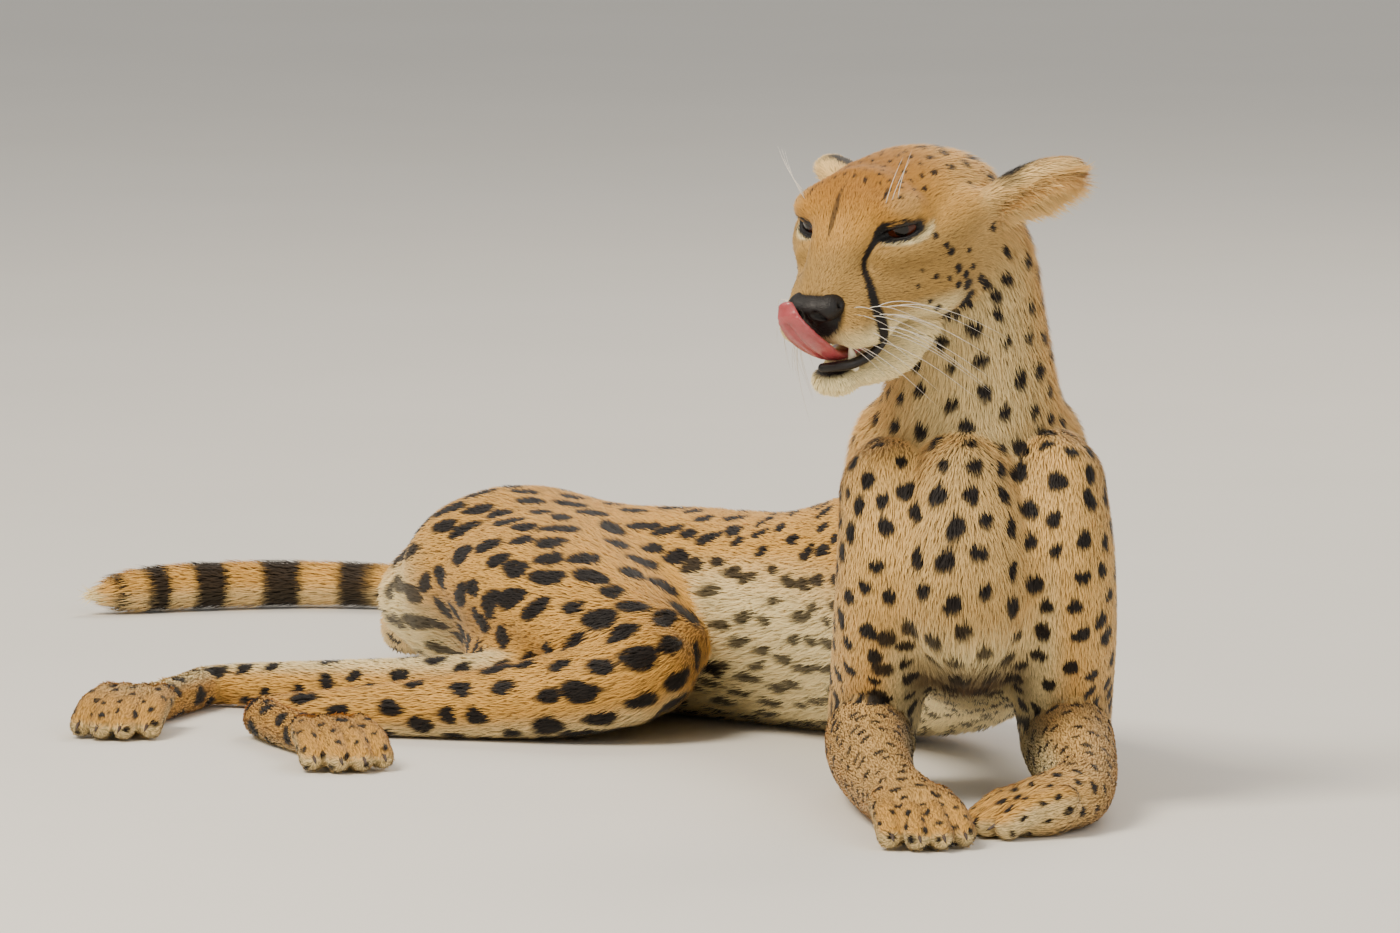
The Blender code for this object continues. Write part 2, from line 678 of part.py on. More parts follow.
def part_head(body):
    """Ears, lower jaw, head and neck."""
    pieces = {}
    for name, width in (("left", 0.031), ("right", 0.030)):
        middle, frame = ear_frame(name)
        cell = block("cell", head_point(*(middle + frame[0] * 24)), (0.040, width, 0.024),
                     frame @ HEAD_AXES)
        pieces["ear_" + name] = part_off(body, "ear_" + name, cell)
    slope = np.array(((0.978, 0.0, -0.208), (0.0, 1.0, 0.0), (0.208, 0.0, 0.978)))
    cell = block("cell", head_point(38.4, 0, -108.3), (0.046, 0.075, 0.030), slope @ HEAD_AXES)
    pieces["jaw"] = part_off(body, "jaw", cell)
    cell = ball("cell", head_point(-10, 0, -6), (0.130, 0.108, 0.096), HEAD_AXES)
    pieces["head"] = part_off(body, "head", cell)
    cell = ball("cell", (0.0, -0.012, 0.378), (0.120, 0.120, 0.118))
    pieces["neck"] = part_off(body, "neck", cell)
    return pieces


def part_legs(body):
    """Paws, forearms, shoulders, hind feet, shanks and thighs."""
    cells = (("fore_paw_right", (-0.034, -0.259, 0.03), (0.092, 0.0395, 0.06), (0.24, -0.97, 0.0)),
             ("fore_paw_left", (0.0535, -0.2015, 0.03), (0.0655, 0.0585, 0.06), (1.0, 0.0, 0.0)),
             ("forearm_right", (-0.060, -0.113, 0.034), (0.050, 0.102, 0.049), (1.0, 0.0, 0.0)),
             ("forearm_left", (0.082, -0.078, 0.034), (0.050, 0.067, 0.049), (1.0, 0.0, 0.0)),
             ("hind_foot_right", (-0.450, 0.199, 0.03), (0.070, 0.114, 0.05), (1.0, 0.0, 0.0)),
             ("hind_foot_left", (-0.592, 0.395, 0.03), (0.074, 0.115, 0.05), (1.0, 0.0, 0.0)),
             ("shank_right", (-0.345, 0.310, 0.05), (0.175, 0.052, 0.075), (1.0, 0.0, 0.0)),
             ("shank_left", (-0.460, 0.447, 0.03), (0.130, 0.101, 0.05), (-0.83, 0.55, 0.0)))
    pieces = {}
    for name, centre, half_sizes, forward in cells:
        cell = block("cell", centre, half_sizes, flat_axes(forward))
        pieces[name] = part_off(body, name, cell)
    for name, side, inner in (("shoulder_right", -1, -0.035), ("shoulder_left", 1, 0.044)):
        axes = leaning_axes(side)
        centre = np.array((inner, -0.015, 0.14)) + axes[0] * 0.07 - axes[2] * 0.012
        pieces[name] = part_off(body, name, block("cell", centre, (0.07, 0.105, 0.145), axes))
    cell = ball("cell", (-0.280, 0.470, 0.125), (0.185, 0.120, 0.080), flat_axes((0.25, -0.97, 0)))
    pieces["thigh_right"] = part_off(body, "thigh_right", cell)
    cell = block("cell", (-0.335, 0.455, 0.02), (0.090, 0.100, 0.065))
    pieces["thigh_left"] = part_off(body, "thigh_left", cell)
    return pieces


def part_tail_and_trunk(body):
    """Four lengths of tail, the hips and the chest; the loin is what stays."""
    cells = (("tail_tip", (-0.565, 1.14, 0.03), (0.120, 0.10, 0.06)),
             ("tail_end", (-0.400, 1.14, 0.03), (0.150, 0.16, 0.06)),
             ("tail_middle", (-0.370, 0.93, 0.03), (0.120, 0.14, 0.06)),
             ("tail_base", (-0.395, 0.785, 0.05), (0.080, 0.095, 0.08)))
    pieces = {}
    for name, centre, half_sizes in cells:
        pieces[name] = part_off(body, name, block("cell", centre, half_sizes))
    cell = block("cell", (-0.302, 0.611, 0.09), (0.150, 0.185, 0.12), flat_axes((-0.68, 0.73, 0)))
    pieces["pelvis"] = part_off(body, "pelvis", cell)
    cell = block("cell", (0.0, 0.02, 0.15), (0.16, 0.20, 0.16))
    pieces["thorax"] = part_off(body, "thorax", cell)
    pieces["loin"] = body
    return pieces


# ---------------------------------------------------------------- eyes, nose and mouth
def add_eyes(head):
    """Eyeballs behind the slit of the lids."""
    pieces = {}
    for name, side in (("left", 1), ("right", -1)):
        centre = np.array(EYE_PLACE) * (1, side, 1)
        axes = eye_axes(side)
        slit = centre + axes[0] * 20.0 - axes[2] * 0.8
        opening = ball("slit", head_point(*slit), (0.0125, 0.0185, 0.0052), axes @ HEAD_AXES)
        boolean(head, opening, "DIFFERENCE")
        bpy.data.objects.remove(opening)
        socket = ball("socket", head_point(*centre), [EYE_RADIUS] * 3, axes @ HEAD_AXES)
        boolean(head, socket, "DIFFERENCE")
        bpy.data.objects.remove(socket)
        pieces["eye_" + name] = ball("eye_" + name, head_point(*centre),
                                     [EYE_RADIUS - GAP] * 3, axes @ HEAD_AXES)
    return pieces


def add_nose(head):
    """The bare nose pad, broad above and narrow at the lip."""
    forms = [head_blob((57, 0, -32), (13.5, 18, 11), blend=4),
             head_tube(((58, 0, -38, 12, 9), (55, 0, -48, 7, 7), (52, 0, -55, 4, 5)), blend=6)]
    nose = form_object("nose", forms, SMALL_CELL, 260)
    inlay(nose, [head])
    return {"nose": nose}


def add_mouth(head, jaw):
    """The tongue, out and curled up to the nose, and the two lower canines."""
    tongue = form_object("tongue", [head_tube(((18, 0, -77, 12, 4), (42, 0, -75.5, 10.5, 4.2),
                                               (54, -1, -71, 11.5, 4.5), (65, -3, -61, 14.5, 4.5),
                                               (74, -5, -50, 13.5, 4.0), (78.5, -9, -38, 10, 3.2),
                                               (76, -12, -28, 6, 2.6)), blend=4)],
                         SMALL_CELL, 340)
    pieces = {"tongue": tongue}
    for name, side in (("left", 1), ("right", -1)):
        rows = ((47, side * 15, -90, 3.6, 4.2), (48, side * 15.5, -76, 3.0, 3.6),
                (49, side * 16, -68, 1.4, 1.7))
        tooth = form_object("canine_" + name, [head_tube(rows, blend=2)], 0.0013, 90)
        pieces["canine_" + name] = tooth
    for piece in pieces.values():
        inlay(piece, [head, jaw])
    return pieces


def add_claws(pieces):
    """Blunt claws, joined to the paws they grow from."""
    hosts = {"fore_right": "fore_paw_right", "fore_left": "fore_paw_left",
             "hind_right": "hind_foot_right", "hind_left": "hind_foot_left"}
    for foot, (knuckle, forward, length) in FEET.items():
        for place in (-1.5, -0.5, 0.5, 1.5):
            tip = np.array(toe_rows(knuckle, forward, length, place)[-1][:3])
            ahead = unit(unit(forward) + np.array((0.0, 0.0, -0.28)))
            claw = cone("claw", tip + UP * 0.004, tip + UP * 0.004 + ahead * 0.0185, 0.0030)
            boolean(pieces[hosts[foot]], claw, "UNION")
            bpy.data.objects.remove(claw)


def cone(name, base, point, radius):
    """A small six-sided cone from its base to its point."""
    along = Vector(point) - Vector(base)
    place = Matrix.Translation((Vector(base) + Vector(point)) / 2)
    place = place @ along.to_track_quat("Z", "Y").to_matrix().to_4x4()
    form = bmesh.new()
    bmesh.ops.create_cone(form, cap_ends=True, segments=6, radius1=radius, radius2=0.0006,
                          depth=along.length, matrix=place)
    mesh = bpy.data.meshes.new(name)
    form.to_mesh(mesh)
    form.free()
    thing = bpy.data.objects.new(name, mesh)
    bpy.context.scene.collection.objects.link(thing)
    return thing


# ---------------------------------------------------------------- materials
TAWNY = (0.55, 0.33, 0.13)
CREAM = (0.68, 0.55, 0.38)
COLOURS = {"eye": ((0.10, 0.022, 0.008), 0.08), "nose": ((0.012, 0.010, 0.010), 0.35),
           "tongue": ((0.55, 0.11, 0.12), 0.30), "canine": ((0.80, 0.72, 0.52), 0.25),
           "jaw": (CREAM, 0.85), "ear": (CREAM, 0.85), "tail": (CREAM, 0.85)}


def give_material(thing):
    """Each piece has its own material: spotted coat colours, or those of the bare parts."""
    colour, roughness = COLOURS.get(thing.name.split("_")[0], (TAWNY, 0.85))
    material = bpy.data.materials.new(thing.name)
    material.use_nodes = True
    shader = material.node_tree.nodes["Principled BSDF"]
    shader.inputs["Base Color"].default_value = (*colour, 1.0)
    shader.inputs["Roughness"].default_value = roughness
    shader.inputs["Metallic"].default_value = 0.0
    thing.data.materials.clear()
    thing.data.materials.append(material)


def centre_over_floor(pieces):
    """Moves all pieces together, level, so that the middle of the animal is over the origin."""
    corners = np.array([vertex.co for piece in pieces for vertex in piece.data.vertices])
    middle = (corners.min(axis=0) + corners.max(axis=0)) / 2
    for piece in pieces:
        piece.data.transform(Matrix.Translation((-middle[0], -middle[1], 0.0)))


def clear_scene():
    for old in list(bpy.data.objects):
        bpy.data.objects.remove(old)


def build():
    clear_scene()
    body = whole_body()
    pieces = part_head(body)
    pieces.update(part_legs(body))
    pieces.update(part_tail_and_trunk(body))
    for piece in pieces.values():
        keep_largest(piece)
    pieces.update(add_eyes(pieces["head"]))
    pieces.update(add_nose(pieces["head"]))
    pieces.update(add_mouth(pieces["head"], pieces["jaw"]))
    add_claws(pieces)
    for name, piece in pieces.items():
        piece.name = name
        smooth_shaded(piece)
        give_material(piece)
    centre_over_floor(pieces.values())


build()
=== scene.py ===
# %% [markdown]
# # A resting cheetah, life size
# A cheetah lies on its chest with the hips rolled over, its head turned aside and its
# tongue curled up to its nose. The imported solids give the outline, out to the tips of
# the hair. Here one skin is laid inside them by the depth of the coat, then the fine
# parts of the face, the hair and the markings are put on it.
# A sculptor could push a sphere into this shape by hand. We describe the body by its
# anatomy instead, so that each muscle has a name and a size that can be changed.

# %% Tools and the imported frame
import json
import math

import bmesh
import bpy
import numpy as np
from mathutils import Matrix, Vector, bvhtree

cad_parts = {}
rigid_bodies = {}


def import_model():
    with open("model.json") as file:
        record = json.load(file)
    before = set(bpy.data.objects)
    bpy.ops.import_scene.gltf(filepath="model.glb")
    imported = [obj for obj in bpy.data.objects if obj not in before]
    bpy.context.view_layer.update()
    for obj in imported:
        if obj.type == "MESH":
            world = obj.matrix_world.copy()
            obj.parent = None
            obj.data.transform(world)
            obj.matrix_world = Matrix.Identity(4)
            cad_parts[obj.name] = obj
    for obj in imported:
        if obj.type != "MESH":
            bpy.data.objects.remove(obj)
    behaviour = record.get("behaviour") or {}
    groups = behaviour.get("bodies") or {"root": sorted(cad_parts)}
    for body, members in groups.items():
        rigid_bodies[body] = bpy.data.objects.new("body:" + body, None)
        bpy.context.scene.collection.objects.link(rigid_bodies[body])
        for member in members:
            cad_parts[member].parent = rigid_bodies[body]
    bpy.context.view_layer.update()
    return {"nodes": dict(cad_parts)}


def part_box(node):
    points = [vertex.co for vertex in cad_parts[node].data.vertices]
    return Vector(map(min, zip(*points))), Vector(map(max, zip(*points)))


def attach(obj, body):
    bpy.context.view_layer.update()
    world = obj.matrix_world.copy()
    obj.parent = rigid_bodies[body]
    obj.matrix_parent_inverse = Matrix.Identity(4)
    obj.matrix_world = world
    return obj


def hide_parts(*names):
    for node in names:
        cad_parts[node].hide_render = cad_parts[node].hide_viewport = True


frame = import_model()
print("packed nodes:", len(frame["nodes"]))

# %% [markdown]
# ## Directions, curves and distances
# The whole animal is written down as a distance: how far a point in space is from the
# surface, negative inside. Limbs are tubes along a smooth curve, muscles are
# ellipsoids, and a soft minimum melts them together the way skin bridges muscles.
# Metaballs do the same with less control over the sections, so we use our own few lines.

# %% Where the head is
HEAD_CENTRE = (-0.0745, -0.085, 0.403)   # midway between the eyes
HEAD_YAW = math.radians(34.0)            # turned to the animal's right
HEAD_PITCH = math.radians(17.0)          # nose down
EYE_RADIUS = 0.0163
FAR = 1.0                                # further off than anything on the animal
MARGIN = 0.03                            # room round a form in which points ask it
LEAST_RADIUS = 0.0008                    # no limb is thinner than this
UP = np.array((0.0, 0.0, 1.0))


def unit(vector):
    vector = np.asarray(vector, float)
    return vector / np.maximum(np.linalg.norm(vector, axis=-1, keepdims=True), 1e-12)


def head_axes():
    """Forward, left and up of the head."""
    level = np.array((-math.sin(HEAD_YAW), -math.cos(HEAD_YAW), 0.0))
    forward = math.cos(HEAD_PITCH) * level - math.sin(HEAD_PITCH) * UP
    left = np.cross(UP, level)
    return np.array((forward, left, np.cross(forward, left)))


HEAD_AXES = head_axes()


def head_point(forward, left, up):
    """A point given in millimetres from the midpoint of the eyes."""
    return np.array(HEAD_CENTRE) + np.array((forward, left, up)) @ HEAD_AXES / 1000.0


def head_mm(points):
    """The reverse: points as millimetres forward, left and up of the eyes' midpoint."""
    return (points - np.array(HEAD_CENTRE)) @ HEAD_AXES.T * 1000.0


def ramp(value, low, high):
    """0 below low, 1 above high and a soft step between; low may be the larger one."""
    share = np.clip((value - low) / (high - low), 0.0, 1.0)
    return share * share * (3.0 - 2.0 * share)


print("nose points to", HEAD_AXES[0].round(2))

# %% Smooth curves and distances


def catmull(rows, steps):
    """A smooth curve through rows of numbers, with steps spans between two of them."""
    rows = np.asarray(rows, float)
    ends = np.vstack((2 * rows[0] - rows[1], rows, 2 * rows[-1] - rows[-2]))
    curve = []
    for i in range(1, len(ends) - 2):
        p0, p1, p2, p3 = ends[i - 1:i + 3]
        for t in np.arange(steps) / steps:
            curve.append(0.5 * (2 * p1 + (p2 - p0) * t + (2 * p0 - 5 * p1 + 4 * p2 - p3) * t * t
                                + (3 * p1 - p0 - 3 * p2 + p3) * t ** 3))
    curve.append(rows[-1])
    return np.array(curve)


def ellipse_distance(local, radii):
    """Close distance to an ellipsoid, negative inside."""
    first = np.linalg.norm(local / radii, axis=1)
    second = np.linalg.norm(local / radii ** 2, axis=1)
    return first * (first - 1.0) / np.maximum(second, 1e-9)


class Tube:
    """A limb: a curve with an elliptical section that may turn and taper."""

    def __init__(self, rows, sides, blend, coat=0.005, steps=3):
        """rows hold x, y, z, half width and half depth; sides point along the width."""
        sides = np.broadcast_to(np.asarray(sides, float), (len(rows), 3))
        curve = catmull(np.hstack((np.asarray(rows, float), sides)), steps)
        self.points = curve[:, :3]
        self.radii = np.maximum(curve[:, 3:5], LEAST_RADIUS)
        self.sides = curve[:, 5:8]
        self.blend = blend
        self.coat = coat
        reach = self.radii.max() + blend + MARGIN
        self.low = self.points.min(axis=0) - reach
        self.high = self.points.max(axis=0) + reach

    def nearest(self, p):
        """Distance, direction of the limb, and place: along, across and through it."""
        best = np.full(len(p), FAR)
        tangents = np.zeros((len(p), 3))
        places = np.zeros((len(p), 3))
        for i in range(len(self.points) - 1):
            a, b = self.points[i], self.points[i + 1]
            run = b - a
            reach = np.abs(run) / 2 + self.radii[i:i + 2].max() + self.blend + MARGIN
            near = np.flatnonzero(np.all(np.abs(p - (a + b) / 2) < reach, axis=1))
            tangent = unit(run)
            offset = p[near] - a
            t = np.clip(offset @ run / (run @ run), 0.0, 1.0)[:, None]
            q = offset - t * run
            side = self.sides[i] + t * (self.sides[i + 1] - self.sides[i])
            side = unit(side - (side @ tangent)[:, None] * tangent)
            radii = self.radii[i] + t * (self.radii[i + 1] - self.radii[i])
            local = np.stack((np.sum(q * side, axis=1),
                              np.sum(q * np.cross(tangent, side), axis=1), q @ tangent), axis=1)
            value = ellipse_distance(local, np.column_stack((radii, radii.min(axis=1))))
            closer = value < best[near]
            hit = near[closer]
            best[hit] = value[closer]
            tangents[hit] = tangent
            places[hit, 0] = (i + t[closer, 0]) / (len(self.points) - 1)
            places[hit, 1:] = local[closer, :2]
        return best, tangents, places

    def distance(self, p):
        return self.nearest(p)[0]


class Blob:
    """A muscle or pad: an ellipsoid with its own axes."""

    def __init__(self, centre, radii, axes=np.eye(3), blend=0.02, coat=0.005):
        self.centre = np.asarray(centre, float)
        self.radii = np.asarray(radii, float)
        self.axes = np.asarray(axes, float)
        self.blend = blend
        self.coat = coat
        reach = self.radii.max() + blend + MARGIN
        self.low = self.centre - reach
        self.high = self.centre + reach

    def distance(self, p):
        return ellipse_distance((p - self.centre) @ self.axes.T, self.radii)


print("forms: tube and blob")

# %% [markdown]
# ## The forms of the body
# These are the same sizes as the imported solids. Each form also says how deep the coat
# is over it, because the skin lies that much further in: 1 mm on the eyelids, 2 mm on
# the muzzle and the feet, 9 mm on the withers.

# %% Trunk, neck and tail
# x, y, z, half width, half depth, and the roll of the back away from upright in degrees
SPINE = np.array(((0.004, -0.080, 0.156, 0.044, 0.060, 0),
                  (0.006, -0.020, 0.166, 0.064, 0.092, 0),
                  (0.012, 0.075, 0.154, 0.078, 0.100, 3),
                  (0.008, 0.180, 0.130, 0.078, 0.099, 14),
                  (-0.026, 0.285, 0.099, 0.074, 0.098, 34),
                  (-0.090, 0.385, 0.079, 0.074, 0.096, 54),
                  (-0.172, 0.475, 0.0755, 0.076, 0.088, 66),
                  (-0.256, 0.552, 0.074, 0.072, 0.078, 72),
                  (-0.330, 0.605, 0.074, 0.066, 0.064, 72),
                  (-0.374, 0.650, 0.066, 0.036, 0.038, 72)))
NECK_ROWS = ((-0.012, -0.020, 0.405, 0.050, 0.054), (0.003, -0.012, 0.372, 0.053, 0.058),
             (0.007, -0.010, 0.335, 0.056, 0.062), (0.009, -0.008, 0.300, 0.060, 0.066),
             (0.008, 0.000, 0.260, 0.068, 0.074), (0.006, 0.020, 0.215, 0.072, 0.080))
TAIL_ROWS = ((-0.372, 0.640, 0.076, 0.027, 0.027), (-0.392, 0.710, 0.046, 0.021, 0.021),
             (-0.394, 0.790, 0.025, 0.0195, 0.0195), (-0.366, 0.885, 0.018, 0.019, 0.019),
             (-0.334, 0.980, 0.018, 0.019, 0.019), (-0.334, 1.070, 0.018, 0.019, 0.019),
             (-0.385, 1.140, 0.0180, 0.0195, 0.0195), (-0.470, 1.165, 0.0185, 0.0205, 0.0205),
             (-0.550, 1.150, 0.0190, 0.0210, 0.0210), (-0.602, 1.130, 0.0175, 0.019, 0.019),
             (-0.624, 1.120, 0.016, 0.012, 0.012))

spine_runs = unit(np.gradient(SPINE[:, :3], axis=0))
spine_left = unit(np.cross(spine_runs, UP))
spine_roll = np.radians(SPINE[:, 5:6])
spine_sides = (np.cos(spine_roll) * spine_left
               + np.sin(spine_roll) * np.cross(spine_left, spine_runs))
spine_belly = -np.cos(spine_roll) * UP - np.sin(spine_roll) * spine_left

TRUNK = Tube(SPINE[:, :5], spine_sides, blend=0.02, coat=0.0055)
NECK = Tube(NECK_ROWS, (1.0, 0.0, 0.0), blend=0.03, coat=0.0075)
TAIL = Tube(TAIL_ROWS, UP, blend=0.025, coat=0.0065, steps=4)


def trunk_forms():
    """The barrel of the chest, the loin and the hips, with the shoulder blades on them."""
    blades = [Blob((0.006 + side * 0.056, 0.025, 0.208), (0.030, 0.060, 0.062), blend=0.03)
              for side in (-1, 1)]
    breast = Blob((0.000, -0.080, 0.190), (0.046, 0.040, 0.072), blend=0.025, coat=0.0065)
    hips = Blob((-0.318, 0.575, 0.098), (0.072, 0.070, 0.054), blend=0.03)
    withers = Blob((0.014, 0.045, 0.245), (0.042, 0.055, 0.038), blend=0.03, coat=0.009)
    return [TRUNK, *blades, breast, hips, NECK, withers, TAIL]


print("spine stations:", len(SPINE))

# %% Legs and toes
RIGHT_FORE = ((-0.050, -0.035, 0.215, 0.036, 0.054), (-0.050, -0.050, 0.175, 0.038, 0.050),
              (-0.052, -0.030, 0.125, 0.038, 0.046), (-0.056, 0.020, 0.078, 0.036, 0.042),
              (-0.060, 0.040, 0.042, 0.034, 0.044), (-0.062, -0.020, 0.038, 0.033, 0.040),
              (-0.058, -0.100, 0.032, 0.028, 0.034), (-0.050, -0.165, 0.026, 0.024, 0.028),
              (-0.042, -0.205, 0.023, 0.027, 0.025), (-0.034, -0.238, 0.020, 0.031, 0.022))
LEFT_FORE = ((0.066, -0.035, 0.220, 0.037, 0.054), (0.069, -0.050, 0.178, 0.040, 0.051),
             (0.070, -0.030, 0.125, 0.041, 0.048), (0.072, 0.020, 0.078, 0.038, 0.043),
             (0.074, 0.040, 0.042, 0.035, 0.044), (0.077, -0.020, 0.038, 0.033, 0.040),
             (0.082, -0.095, 0.031, 0.028, 0.033), (0.083, -0.142, 0.026, 0.024, 0.028),
             (0.074, -0.178, 0.023, 0.027, 0.025), (0.054, -0.203, 0.020, 0.030, 0.022))
RIGHT_HIND = ((-0.300, 0.580, 0.094, 0.056, 0.080), (-0.272, 0.480, 0.092, 0.056, 0.086),
              (-0.242, 0.390, 0.078, 0.048, 0.072), (-0.222, 0.325, 0.054, 0.040, 0.045),
              (-0.268, 0.318, 0.036, 0.034, 0.036), (-0.350, 0.338, 0.024, 0.026, 0.028),
              (-0.440, 0.358, 0.017, 0.019, 0.020), (-0.486, 0.352, 0.015, 0.0175, 0.019),
              (-0.478, 0.300, 0.015, 0.0170, 0.016), (-0.452, 0.230, 0.015, 0.0175, 0.015),
              (-0.436, 0.190, 0.016, 0.018, 0.024))
LEFT_HIND = ((-0.260, 0.600, 0.046, 0.048, 0.074), (-0.280, 0.510, 0.042, 0.044, 0.070),
             (-0.292, 0.430, 0.036, 0.038, 0.055), (-0.300, 0.392, 0.030, 0.032, 0.038),
             (-0.352, 0.412, 0.026, 0.028, 0.031), (-0.430, 0.470, 0.021, 0.023, 0.024),
             (-0.500, 0.522, 0.017, 0.019, 0.019), (-0.532, 0.532, 0.015, 0.0175, 0.018),
             (-0.548, 0.490, 0.015, 0.0170, 0.016), (-0.572, 0.420, 0.015, 0.0175, 0.015),
             (-0.584, 0.380, 0.016, 0.018, 0.024))
LEGS = {"fore_right": Tube(RIGHT_FORE, (1.0, 0.0, 0.0), blend=0.018, coat=0.0040),
        "fore_left": Tube(LEFT_FORE, (1.0, 0.0, 0.0), blend=0.018, coat=0.0040),
        "hind_left": Tube(LEFT_HIND, UP, blend=0.02, coat=0.0040),
        "hind_right": Tube(RIGHT_HIND, UP, blend=0.02, coat=0.0040)}

# knuckle, direction of the toes, length of the toes
FEET = {"fore_right": ((-0.034, -0.238, 0.020), (0.16, -0.98, 0.0), 0.070),
        "fore_left": ((0.052, -0.204, 0.020), (-0.93, -0.36, 0.0), 0.052),
        "hind_right": ((-0.436, 0.190, 0.018), (0.22, -0.97, 0.0), 0.066),
        "hind_left": ((-0.584, 0.380, 0.018), (-0.22, -0.97, 0.0), 0.066)}
TOE_PLACES = (-1.5, -0.5, 0.5, 1.5)
TOE_SPACING = 0.0165
TOE_SIZE = 0.0122


def toe_rows(knuckle, forward, length, place):
    """One toe: over the knuckle, forward, and down to the claw; place runs -1.5 to 1.5."""
    forward = unit(forward)
    across = np.cross(UP, forward)
    reach = length * (1.0 - 0.11 * abs(place) ** 1.5)
    start = np.array(knuckle) + across * place * TOE_SPACING * 0.8 - forward * 0.012
    middle = start + forward * (0.012 + reach * 0.42) + across * place * 0.0022
    end = start + forward * (0.004 + reach) + across * place * 0.0035
    rows = []
    for point, height, size in ((start, knuckle[2] + 0.006, 0.95), (middle, 0.020, 1.0),
                                (end, 0.0100, 0.92)):
        rows.append((point[0], point[1], height, TOE_SIZE * size * 0.92, TOE_SIZE * size))
    return rows


def leg_forms():
    """Four legs to the knuckles, then four toes and a pad each."""
    forms = list(LEGS.values())
    for knuckle, forward, length in FEET.values():
        forward = unit(forward)
        across = np.cross(UP, forward)
        pad = np.array((knuckle[0], knuckle[1], 0.011)) + forward * 0.010
        forms.append(Blob(pad, (0.028, 0.027, 0.014), (forward, across, UP), blend=0.010,
                          coat=0.0022))
        for place in TOE_PLACES:
            toe = toe_rows(knuckle, forward, length, place)
            forms.append(Tube(toe, across, blend=0.0045, coat=0.0022))
    return forms


print("feet:", ", ".join(FEET))

# %% [markdown]
# ## The head
# A cheetah's head is small and round, with a short muzzle, full whisker pads, high
# cheekbones and eyes set under a soft brow. All of it is written in millimetres from
# the point between the eyes, so left and right share their numbers.

# %% Skull, cheeks and muzzle


def head_blob(centre, radii, blend=12, turn=0.0, coat=3.0):
    """An ellipsoid in head millimetres, its length turned outwards by turn degrees."""
    angle = math.radians(turn)
    turned = np.array(((math.cos(angle), math.sin(angle), 0.0),
                       (-math.sin(angle), math.cos(angle), 0.0), (0.0, 0.0, 1.0))) @ HEAD_AXES
    return Blob(head_point(*centre), np.array(radii) / 1000.0, turned, blend / 1000.0,
                coat / 1000.0)


def head_tube(rows, blend=12, side=1, coat=3.0):
    """A tube in head millimetres; side picks the head axis that its width follows."""
    world = [(*head_point(*row[:3]), row[3] / 1000.0, row[4] / 1000.0) for row in rows]
    return Tube(world, HEAD_AXES[side], blend / 1000.0, coat / 1000.0)


def head_forms():
    """Skull, brows, cheeks, muzzle, whisker pads and jaw."""
    forms = [head_blob((-42, 0, -4), (54, 54, 39), blend=25, coat=3.5),
             head_blob((-76, 0, -11), (38, 58, 38), blend=12, coat=4.5),
             head_blob((-15, 0, 7), (27, 38, 31), blend=10, coat=2.5),
             head_tube(((-4, 0, 8, 27, 18), (18, 0, -5, 23, 15), (38, 0, -22, 20, 14),
                        (54, 0, -36, 17, 13)), blend=12, coat=1.5),
             head_blob((42, 0, -46), (21, 26, 22), blend=10, coat=1.5),
             head_blob((8, 0, -28), (36, 23, 22), blend=8, coat=2.5)]
    for side in (-1, 1):
        brow = head_blob((-8, side * 31, 13), (17, 17, 11), blend=12, turn=side * 31, coat=2.0)
        cheekbone = head_tube(((12, side * 30, -17, 12, 11), (-8, side * 45, -17, 12, 11),
                               (-34, side * 54, -12, 14, 14), (-58, side * 55, -8, 14, 16)),
                              blend=12, coat=3.0)
        cheek = head_tube(((34, side * 22, -38, 13, 16), (10, side * 33, -44, 15, 20),
                           (-20, side * 40, -46, 18, 24)), blend=14, coat=2.5)
        jowl = head_blob((-34, side * 43, -38), (32, 24, 32), blend=16, turn=side * 12,
                         coat=5.0)
        ruff = head_blob((-60, side * 45, -36), (28, 25, 34), blend=18, coat=6.0)
        whisker_pad = head_blob((40, side * 19, -53), (25, 16, 17.5), blend=9,
                                turn=side * 22, coat=1.8)
        pad_end = head_blob((28, side * 27, -59), (14, 10, 12), blend=14, turn=side * 24,
                            coat=1.8)
        forms += [brow, cheekbone, cheek, jowl, ruff, whisker_pad, pad_end]
    jaw = head_tube(((50, 0, -90, 16, 10), (30, 0, -93, 26, 13), (4, 0, -92, 35, 18),
                     (-26, 0, -76, 41, 27)), blend=10, coat=3.5)
    chin = head_blob((51, 0, -91), (16, 19, 12), blend=7, coat=3.0)
    return forms + [jaw, chin]


MOUTH = head_tube(((88, 0, -77, 30, 5.0), (58, 0, -77, 28, 4.8), (42, 0, -76, 28, 3.4),
                   (30, 0, -70, 31, 1.4)), blend=3)
print("head forms:", len(head_forms()))

# %% Eyes and ears
EYE_TURN = math.radians(31)      # how far each eye looks outwards
EYE_PLACE = (-14, 31.5, 0)       # middle of the left eyeball
LID_TILT = 0.11                  # rise of the slit towards its outer corner
SIDES = {"left": 1, "right": -1}


def eye_axes(side):
    """Gaze, slit and upward directions of one eye, in the room."""
    gaze = np.array((math.cos(EYE_TURN), side * math.sin(EYE_TURN), 0.0))
    slit = unit((-math.sin(EYE_TURN), side * math.cos(EYE_TURN), LID_TILT))
    return np.array((gaze, slit, np.cross(gaze, slit) * side)) @ HEAD_AXES


def eye_centre(side):
    return head_point(*(np.array(EYE_PLACE) * (1, side, 1)))


# base, direction and opening of each ear: the left one sideways, the right one laid back
EARS = {"left": ((-80, 66, -9), (-0.45, 0.84, 0.30), (0.42, 0.42, -0.80)),
        "right": ((-86, -58, -10), (-0.80, -0.56, -0.20), (0.50, -0.60, -0.62))}


